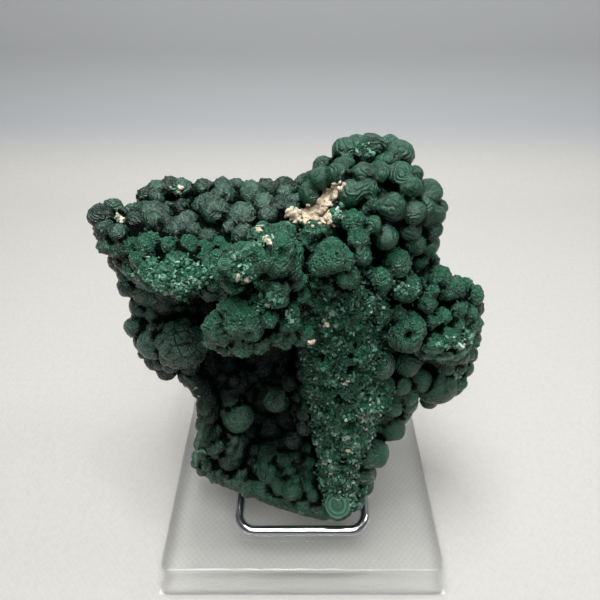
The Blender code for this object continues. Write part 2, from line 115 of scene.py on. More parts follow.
class Graph:
    """The nodes of one material, around its Principled shader."""

    def __init__(self, name: str) -> None:
        """Makes the material with its shader, and millimetre coordinates to read.

        Args:
            name: the material's name.
        """
        self.material = bpy.data.materials.new(name)
        self.material.use_nodes = True
        self.tree = self.material.node_tree
        self.shader = self.tree.nodes["Principled BSDF"]
        place = self.node("ShaderNodeTexCoord").outputs["Object"]
        inputs = {"Vector": place, "Scale": (1 / MM, 1 / MM, 1 / MM)}
        self.here = self.node("ShaderNodeMapping", inputs=inputs).outputs[0]

    def node(
        self, kind: str, settings: dict | None = None, inputs: dict | None = None
    ) -> bpy.types.Node:
        """Adds a node.

        Args:
            kind: the node's type.
            settings: its own properties, and "stops" for a colour ramp.
            inputs: values, sockets or Numbers for its sockets, by name or place.

        Returns:
            The node.
        """
        made = self.tree.nodes.new(kind)
        for key, value in (settings or {}).items():
            if key == "stops":
                self._set_stops(made.color_ramp, value)
            else:
                setattr(made, key, value)
        for key, value in (inputs or {}).items():
            self.feed(made.inputs[key], value)
        return made

    @staticmethod
    def _set_stops(ramp: bpy.types.ColorRamp, stops: Sequence[tuple[float, Colour]]) -> None:
        """Gives a ramp its stops.

        Args:
            ramp: the ramp.
            stops: for each stop its place, 0 to 1, and its colour.
        """
        while len(ramp.elements) < len(stops):
            ramp.elements.new(1.0)
        for element, (place, colour) in zip(ramp.elements, stops):
            element.position = place
            element.color = (*colour, 1.0)

    def feed(self, socket: bpy.types.NodeSocket, value: object) -> None:
        """Links or sets one input socket.

        Args:
            socket: the input.
            value: a Number or a socket to link, or a plain value to set.
        """
        if isinstance(value, Number):
            value = value.socket
        if isinstance(value, bpy.types.NodeSocket):
            self.tree.links.new(value, socket)
        elif socket.type == "RGBA" and len(value) == 3:
            socket.default_value = (*value, 1.0)
        else:
            socket.default_value = value

    def surface(self, **inputs: object) -> None:
        """Feeds the Principled shader, with names such as Base_Color for Base Color."""
        for name, value in inputs.items():
            self.feed(self.shader.inputs[name.replace("_", " ")], value)

    def maths(self, operation: str, first: object, second: object) -> Number:
        """Adds a Math node.

        Args:
            operation: the node's operation.
            first: a Number or a plain number.
            second: another.

        Returns:
            The Number that the node makes of them.
        """
        made = self.node("ShaderNodeMath", {"operation": operation}, {0: first, 1: second})
        return Number(self, made.outputs[0])

    def limit(self, value: Number, low: float, high: float) -> Number:
        """Adds a smooth step between two values.

        Args:
            value: the Number that is limited.
            low: where the step gives 0.
            high: where it gives 1, above low or below it.

        Returns:
            The Number from 0 to 1.
        """
        made = self.node(
            "ShaderNodeMapRange",
            {"interpolation_type": "SMOOTHSTEP"},
            {"Value": value, "From Min": low, "From Max": high},
        )
        return Number(self, made.outputs["Result"])

    def stored(self, name: str) -> Number:
        """Returns a number that the mesh holds at each of its corners."""
        made = self.node("ShaderNodeAttribute", {"attribute_name": name})
        return Number(self, made.outputs["Fac"])

    def grain(self, per_mm: float, detail: float = 3.0, rough: float = 0.55) -> Number:
        """Adds a cloudy pattern.

        Args:
            per_mm: how many clouds there are to the millimetre.
            detail: how many finer layers it has.
            rough: how strong the finer layers are.

        Returns:
            The Number that the pattern gives.
        """
        made = self.node(
            "ShaderNodeTexNoise",
            inputs={"Vector": self.here, "Scale": per_mm, "Detail": detail, "Roughness": rough},
        )
        return Number(self, made.outputs["Fac"])

    def cells(self, per_mm: float, feature: str = "F1") -> Number:
        """Adds a pattern of cells around scattered points.

        Args:
            per_mm: how many cells there are to the millimetre.
            feature: F1 for the nearest point, or DISTANCE_TO_EDGE for the cell walls.

        Returns:
            The distance to the feature, as a Number.
        """
        made = self.node(
            "ShaderNodeTexVoronoi", {"feature": feature}, {"Vector": self.here, "Scale": per_mm}
        )
        return Number(self, made.outputs["Distance"])

    def cell_values(self, per_mm: float) -> Number:
        """Returns a number of its own for each cell around scattered points."""
        made = self.node("ShaderNodeTexVoronoi", inputs={"Vector": self.here, "Scale": per_mm})
        return Number(self, made.outputs["Color"])

    def mix(self, share: "Number | float", first: object, second: object) -> bpy.types.NodeSocket:
        """Mixes two colours.

        Args:
            share: how much of the second there is, 0 to 1.
            first: a colour or a socket.
            second: another.

        Returns:
            The socket of the mixed colour.
        """
        made = self.node("ShaderNodeMix", {"data_type": "RGBA"}, {0: share, 6: first, 7: second})
        return made.outputs[2]

    def paint_shade(self, share: Number, colour: Colour) -> None:
        """Paints shade: replaces a share of the finished surface by a dull dark one.

        Args:
            share: how much of it, 0 to 1.
            colour: the painted shade's colour.
        """
        dull = self.node("ShaderNodeBsdfDiffuse", inputs={"Color": colour}).outputs[0]
        glossy = self.shader.outputs[0]
        both = self.node("ShaderNodeMixShader", inputs={0: share, 1: glossy, 2: dull})
        output = self.tree.nodes["Material Output"]
        self.feed(output.inputs["Surface"], both.outputs[0])

    def ramp(
        self, value: Number, stops: Sequence[tuple[float, Colour]]
    ) -> bpy.types.NodeSocket:
        """Adds a colour ramp.

        Args:
            value: the Number that it reads.
            stops: for each stop its place, 0 to 1, and its colour.

        Returns:
            The socket of its colour.
        """
        made = self.node("ShaderNodeValToRGB", {"stops": stops}, {"Fac": value})
        return made.outputs["Color"]

    def bump(self, height: Number, depth: float) -> bpy.types.NodeSocket:
        """Adds small relief.

        Args:
            height: the Number that gives the height.
            depth: how deep the relief is, in millimetres.

        Returns:
            The socket of the normal.
        """
        inputs = {"Height": height, "Distance": depth * MM, "Strength": 1.0}
        return self.node("ShaderNodeBump", inputs=inputs).outputs[0]


# ---------------------------------------------------------------- finishes


@dataclass(frozen=True)
class MalachiteFinish:
    """Dark green crust: velvety grey-green patches with painted sheen, paler rims, painted
    highlights on tips and fold ridges, and very dark painted shade in creases and the hollow.
    """

    # Painted shade in creases and the hollow, and the colour of crack lines.
    crease_shade_and_crack: Colour = (0.0004, 0.0016, 0.0010)
    deep: Colour = (0.0020, 0.0200, 0.0105)
    green: Colour = (0.0062, 0.0575, 0.0305)
    # Painted highlight on tips and fold ridges.
    bright: Colour = (0.0165, 0.1120, 0.0590)
    # Velvety grey-green with painted sheen.
    bloom_and_sheen: Colour = (0.0480, 0.0880, 0.0690)
    # Painted shade in the hollow, and random dark patches on velvet.
    hollow_shade_and_dark_patch: Colour = (0.0015, 0.0100, 0.0058)
    speck: Colour = (0.2200, 0.3900, 0.2900)
    pale: Colour = (0.0900, 0.2400, 0.1500)

    def material(self) -> bpy.types.Material:
        """Makes the finish of the crust.

        Returns:
            Its material.
        """
        graph = Graph("malachite_crust")
        rough = graph.stored("rough")
        velvet = graph.stored("velvet")
        fold = graph.stored("fold")
        # How deep in the hollow each place is, where shade is painted.
        deep = graph.stored("deep")
        speckle = graph.grain(2.2, detail=3.0, rough=0.7)
        fine = graph.grain(5.5, detail=2.0, rough=0.6)
        # Painted shade mask: creases from the stored hollow measure, deeper in fold valleys.
        dark = graph.limit(graph.stored("hollow") + speckle * 0.25 - fold * 0.12, 0.52, 0.95)
        cracks = 1 - graph.limit(graph.cells(0.36, "DISTANCE_TO_EDGE"), 0.0, 0.05)
        cracks = cracks * graph.stored("cracked")
        body = self._body(graph, rough, velvet, fold, speckle, fine)
        # Painted shade in creases and fold valleys, then painted shade in the hollow, then dark
        # crack lines.
        body = graph.mix(dark, body, self.crease_shade_and_crack)
        body = graph.mix(deep * 0.85, body, self.hollow_shade_and_dark_patch)
        body = graph.mix(cracks * 0.8, body, self.crease_shade_and_crack)
        sparkle = graph.limit(graph.cell_values(3.2), 0.62, 0.70)
        relief = graph.grain(1.6, detail=4.0, rough=0.65) * (0.45 + rough)
        facets = graph.cells(2.4) * rough
        whorls = graph.maths("SINE", graph.grain(0.20, detail=1.5) * 95, 0.0)
        height = relief + facets * 0.8 + fine * 0.3 + whorls * 0.14 - cracks * 0.6
        shine = 0.18 * sparkle * (0.4 + 0.6 * rough)
        graph.surface(
            Base_Color=body,
            Roughness=0.31 - shine + 0.05 * velvet - 0.20 * speckle,
            Normal=graph.bump(height, 0.55),
        )
        # Painted shade: in creases and the hollow a dull dark diffuse surface replaces much of the
        # glossy one.
        painted_shade_share = graph.limit(dark, 0.05, 0.7) * 0.92
        graph.paint_shade(graph.maths("MAXIMUM", painted_shade_share, deep * 0.50), self.crease_shade_and_crack)
        return graph.material

    def _body(
        self, graph: Graph, rough: Number, velvet: Number, fold: Number, speckle: Number,
        fine: Number,
    ) -> bpy.types.NodeSocket:
        """Returns the crust's greens with painted highlights and sheen, without the painted shade
        in its creases.

        Args:
            graph: the material's nodes.
            rough: how rough the crust is.
            velvet: how velvety it is.
            fold: how high its folds are.
            speckle: a pattern of small clouds.
            fine: a pattern of finer ones.

        Returns:
            The colour.
        """
        tone = graph.stored("tone")
        tip = graph.stored("tip")
        clouds = graph.grain(0.35, detail=4.0)
        patches = graph.grain(0.55, detail=5.0, rough=0.75)
        body = graph.mix(graph.limit(clouds + tone * 0.35, 0.42, 0.92), self.deep, self.green)
        # Painted highlight on convex tips and fold ridges.
        lit = graph.limit(tip + fold * 0.5 + speckle * 0.6 - 0.55, 0.2, 1.0)
        body = graph.mix(lit * (0.35 + 0.6 * rough), body, self.bright)
        # Velvety grey-green with painted sheen, stronger on tips and fold ridges.
        bloom_and_sheen = graph.limit(speckle + patches + tip * 0.3 + fold * 0.2, 1.0, 1.6)
        body = graph.mix(velvet * bloom_and_sheen * (0.3 + 0.75 * tone), body, self.bloom_and_sheen)
        dull = graph.limit(patches + tone * 0.2, 0.68, 0.50)
        body = graph.mix(velvet * dull * 0.8, body, self.hollow_shade_and_dark_patch)
        dots = (1 - graph.limit(graph.cells(2.6), 0.10, 0.22)) * graph.limit(fine, 0.46, 0.60)
        dots = dots * (0.25 + 0.7 * rough) * graph.limit(tip, 0.2, 0.6)
        body = graph.mix(dots, body, self.speck)
        pale = graph.limit(graph.stored("pale") + speckle - 0.5, 0.25, 0.8)
        return graph.mix(pale * 0.6, body, self.pale)


@dataclass(frozen=True)
class GrainFinish:
    """Small crystals: each from dark green to pale green, a few white or tan."""

    name: str
    dark: Colour = (0.0045, 0.0300, 0.0180)
    green: Colour = (0.0120, 0.0850, 0.0480)
    pale: Colour = (0.1100, 0.2600, 0.1750)
    white: Colour = (0.4200, 0.4500, 0.3800)

    def material(self) -> bpy.types.Material:
        """Makes the finish of small crystals.

        Returns:
            Its material, which reads the shade of each.
        """
        graph = Graph(self.name)
        stops = [(0.0, self.dark), (0.45, self.green), (0.80, self.pale), (1.0, self.white)]
        shades = graph.ramp(graph.stored("shade"), stops)
        fine = graph.grain(3.0)
        colour = graph.mix(graph.limit(fine, 0.45, 0.75) * 0.4, shades, self.green)
        graph.surface(
            Base_Color=colour,
            Roughness=0.10 + 0.30 * fine,
            Normal=graph.bump(graph.grain(6.0), 0.08),
        )
        return graph.material


@dataclass(frozen=True)
class BandFinish:
    """The rings of a lump that is broken across: light and dark green by turns."""

    dark: Colour = (0.0080, 0.0500, 0.0290)
    green: Colour = (0.0220, 0.1050, 0.0620)
    light: Colour = (0.0650, 0.1900, 0.1280)

    def material(self) -> bpy.types.Material:
        """Makes the finish of a banded lump.

        Returns:
            Its material, which reads how far out each place is.
        """
        graph = Graph("banded_malachite")
        fine = graph.grain(4.0)
        out = graph.stored("out") + (fine - 0.5) * 0.10 + (graph.grain(0.5) - 0.5) * 0.22
        stops = [
            (0.0, self.dark), (0.30, self.green), (0.42, self.dark), (0.56, self.green),
            (0.66, self.light), (0.76, self.dark), (0.88, self.green), (0.95, self.light),
        ]
        rings = graph.ramp(out, stops)
        fibres = graph.grain(9.0, detail=2.0)
        graph.surface(
            Base_Color=graph.mix(graph.limit(fibres, 0.4, 0.7) * 0.3, rings, self.dark),
            Roughness=0.35 + 0.2 * fine,
            Normal=graph.bump(fibres + fine, 0.12),
        )
        return graph.material


@dataclass(frozen=True)
class ClayFinish:
    """Cream clay of the host rock, with tan patches, a pitted relief and a few green specks."""

    cream: Colour = (0.720, 0.620, 0.470)
    tan: Colour = (0.360, 0.250, 0.150)
    green: Colour = (0.030, 0.160, 0.090)

    def material(self) -> bpy.types.Material:
        """Makes the finish of the clay.

        Returns:
            Its material.
        """
        graph = Graph("host_clay")
        grain = graph.grain(1.4, detail=5.0, rough=0.7)
        pits = graph.limit(graph.cells(1.8), 0.0, 0.35)
        colour = graph.mix(graph.limit(grain, 0.42, 0.68), self.cream, self.tan)
        specks = graph.limit(graph.grain(2.6, detail=2.0), 0.62, 0.70)
        colour = graph.mix(specks, colour, self.green)
        relief = graph.bump(grain + pits * 0.5, 0.4)
        graph.surface(Base_Color=colour, Roughness=0.9, Normal=relief)
        return graph.material


@dataclass(frozen=True)
class ChromeFinish:
    """Bright plated wire, slightly uneven."""

    colour: Colour = (0.62, 0.63, 0.65)

    def material(self) -> bpy.types.Material:
        """Makes the finish of the wire.

        Returns:
            Its material.
        """
        graph = Graph("chromed_wire")
        cloud = graph.grain(0.8)
        graph.surface(
            Base_Color=self.colour,
            Metallic=1.0,
            Roughness=0.08 + 0.14 * cloud,
            Normal=graph.bump(graph.grain(0.5, detail=1.0), 0.05),
        )
        return graph.material


@dataclass(frozen=True)
class AcrylicFinish:
    """Clear plastic with fine wipe marks."""

    colour: Colour = (0.985, 0.995, 0.99)
    ior: float = 1.49

    def material(self) -> bpy.types.Material:
        """Makes the finish of the block.

        Returns:
            Its material.
        """
        graph = Graph("clear_acrylic")
        wipes = graph.grain(0.12, detail=6.0, rough=0.75)
        graph.surface(
            Base_Color=self.colour,
            Roughness=0.04 * graph.limit(wipes, 0.5, 0.8),
            IOR=self.ior,
            Transmission_Weight=1.0,
            Normal=graph.bump(graph.grain(0.10, detail=1.0), 0.02),
        )
        return graph.material


@dataclass(frozen=True)
class ClothFinish:
    """Plain pale cloth of the table, with a fine weave that is fainter under the block, where the
    cloth is painted paler as painted light through the block.
    """

    colour: Colour = (0.455, 0.445, 0.420)
    shade: Colour = (0.385, 0.375, 0.350)
    # Painted light under the block.
    painted_light_under_block: Colour = (0.66, 0.65, 0.62)
    wall: Colour = (0.325, 0.335, 0.345)
    threads_per_mm: float = 1.3
    block_reach: float = 32.9
    wall_height: float = 28.0

    def material(self) -> bpy.types.Material:
        """Makes the finish of the floor and the wall.

        Returns:
            Its material.
        """
        graph = Graph("pale_cloth")
        parts = graph.node("ShaderNodeSeparateXYZ", inputs={0: graph.here}).outputs
        x, y, z = [Number(graph, parts[axis]) for axis in "XYZ"]
        scale = self.threads_per_mm * math.pi
        across = graph.maths("SINE", x * scale, 0.0)
        along = graph.maths("SINE", y * scale, 0.0)
        uneven = graph.grain(0.7)
        weave = across * along * 0.10 + uneven
        cloth = graph.mix(graph.limit(weave, 0.1, 0.9) * 0.5, self.colour, self.shade)
        threads = graph.limit(across * along * 0.5 + uneven * 0.4, 0.1, 0.8)
        # Painted light under the block: the cloth there is paler, with a fainter weave.
        painted_light_under_block = graph.mix(threads * 0.20, self.painted_light_under_block, self.shade)
        sides = [graph.maths("ABSOLUTE", side, 0.0) for side in (x, y)]
        out = graph.maths("MAXIMUM", *sides)
        under_block = graph.limit(out, self.block_reach, self.block_reach - 0.1)
        cloth = graph.mix(under_block, cloth, painted_light_under_block)
        rise = graph.limit(z, 0.0, self.wall_height)
        graph.surface(
            Base_Color=graph.mix(rise, cloth, self.wall),
            Roughness=0.95,
            Normal=graph.bump(weave * (1 - rise), 0.10),
        )
        return graph.material


# ---------------------------------------------------------------- the stone's form


class Habit(Enum):
    """How the crust grew at a place."""

    SMOOTH = "smooth"
    VELVET = "velvet"
    ROUGH = "rough"


@dataclass
class Mass:
    """One of the bodies of rock under the crust: its middle and half sizes."""

    middle: Place
    half_sizes: Place
    habit: Habit = Habit.SMOOTH

    def numbers(self) -> Ball:
        """Returns the middle and the half sizes as one list."""
        return (*self.middle, *self.half_sizes)


@dataclass
class Easel:
    """The wire easel: one closed loop with a lying front and a leaning back."""

    wire: float = 2.3
    width: float = 32.0
    front_y: float = -23.3
    heel_y: float = 12.0
    back_height: float = 40.0
    lean: float = math.radians(12.0)
    bend_radius: float = 4.0
    bend_steps: int = 12
    block_height: float = 9.5

    def path(self, steps: int) -> list[Vector]:
        """Returns the wire's middle line.

        Args:
            steps: how many straight steps each bend has.

        Returns:
            The points of a closed path, in millimetres.
        """
        half = (self.width - self.wire) / 2
        low = self.block_height + GAP + self.wire / 2
        top_y = self.heel_y + self.back_height * math.sin(self.lean)
        top_z = low + self.back_height * math.cos(self.lean)
        corners = [
            Vector((-half, self.front_y, low)),
            Vector((half, self.front_y, low)),
            Vector((half, self.heel_y, low)),
            Vector((half, top_y, top_z)),
            Vector((-half, top_y, top_z)),
            Vector((-half, self.heel_y, low)),
        ]
        points = []
        for here, corner in enumerate(corners):
            back = (corners[here - 1] - corner).normalized()
            ahead = (corners[(here + 1) % len(corners)] - corner).normalized()
            half_turn = back.angle(ahead) / 2
            reach = self.bend_radius / math.tan(half_turn)
            hub = corner + (back + ahead).normalized() * self.bend_radius / math.sin(half_turn)
            start = (corner + back * reach - hub).normalized()
            end = (corner + ahead * reach - hub).normalized()
            for step in range(steps + 1):
                points.append(hub + start.slerp(end, step / steps) * self.bend_radius)
        return points

    def build(self) -> bpy.types.Object:
        """Makes the wire, finished and riding on the frame.

        Returns:
            The wire.
        """
        curve = bpy.data.curves.new("easel_wire", "CURVE")
        curve.dimensions = "3D"
        curve.bevel_depth = self.wire / 2 * MM
        curve.bevel_resolution = 8
        points = self.path(self.bend_steps)
        spline = curve.splines.new("POLY")
        spline.points.add(len(points) - 1)
        for point, place in zip(spline.points, points):
            point.co = (*(place * MM), 1.0)
        spline.use_cyclic_u = True
        guide = bpy.data.objects.new("easel_guide", curve)
        bpy.context.scene.collection.objects.link(guide)
        wire = new_piece("easel_wire", evaluated_mesh(guide))
        bpy.data.objects.remove(guide, do_unlink=True)
        wire.data.shade_smooth()
        finish_piece(wire, ChromeFinish().material(), "easel")
        return wire


@dataclass
class Block:
    """The clear block under the easel."""

    bottom_width: float = 66.0
    top_width: float = 63.0
    height: float = 9.5
    corner_radius: float = 2.0
    edge_radius: float = 0.6
    foot: float = -0.03
    flat_area: float = 30.0

    def build(self) -> bpy.types.Object:
        """Makes the block, finished and riding on the frame.

        Returns:
            The block.
        """
        slab = bmesh.new()
        bmesh.ops.create_cube(slab, size=1.0)
        for corner in slab.verts:
            top = corner.co.z > 0
            width = self.top_width if top else self.bottom_width
            corner.co.x *= width * MM
            corner.co.y *= width * MM
            corner.co.z = (self.height if top else self.foot) * MM
        self._round(slab, False, self.corner_radius, 8)
        self._round(slab, True, self.edge_radius, 4)
        block = new_piece("clear_block", mesh_from(slab))
        for face in block.data.polygons:
            face.use_smooth = face.area < self.flat_area * MM ** 2
        finish_piece(block, AcrylicFinish().material(), "base_block")
        return block

    @staticmethod
    def _round(slab: bmesh.types.BMesh, level: bool, radius: float, segments: int) -> None:
        """Rounds some of the slab's edges.

        Args:
            slab: the slab.
            level: True for its level edges, False for its upright ones.
            radius: how large the rounding is, in millimetres.
            segments: how many flat strips it has.
        """
        edges = [
            edge for edge in slab.edges
            if (abs(edge.verts[0].co.z - edge.verts[1].co.z) < MM / 10) == level
        ]
        bmesh.ops.bevel(
            slab, geom=edges, offset=radius * MM, segments=segments, profile=0.5,
            affect="EDGES", material=-1,
        )


@dataclass
class Ridge:
    """A long body under the crust: the balls of its spine, and more between them."""

    spine: list[Ball]
    steps: int = 4

    def balls(self) -> list[Ball]:
        """Spaces balls evenly between those of the spine.

        Returns:
            The ridge's balls, each a middle and three half sizes.
        """
        balls = []
        for upper, lower in zip(self.spine, self.spine[1:]):
            for step in range(self.steps):
                share = step / self.steps
                balls.append([a + (b - a) * share for a, b in zip(upper, lower)])
        return round_balls([*balls, self.spine[-1]])


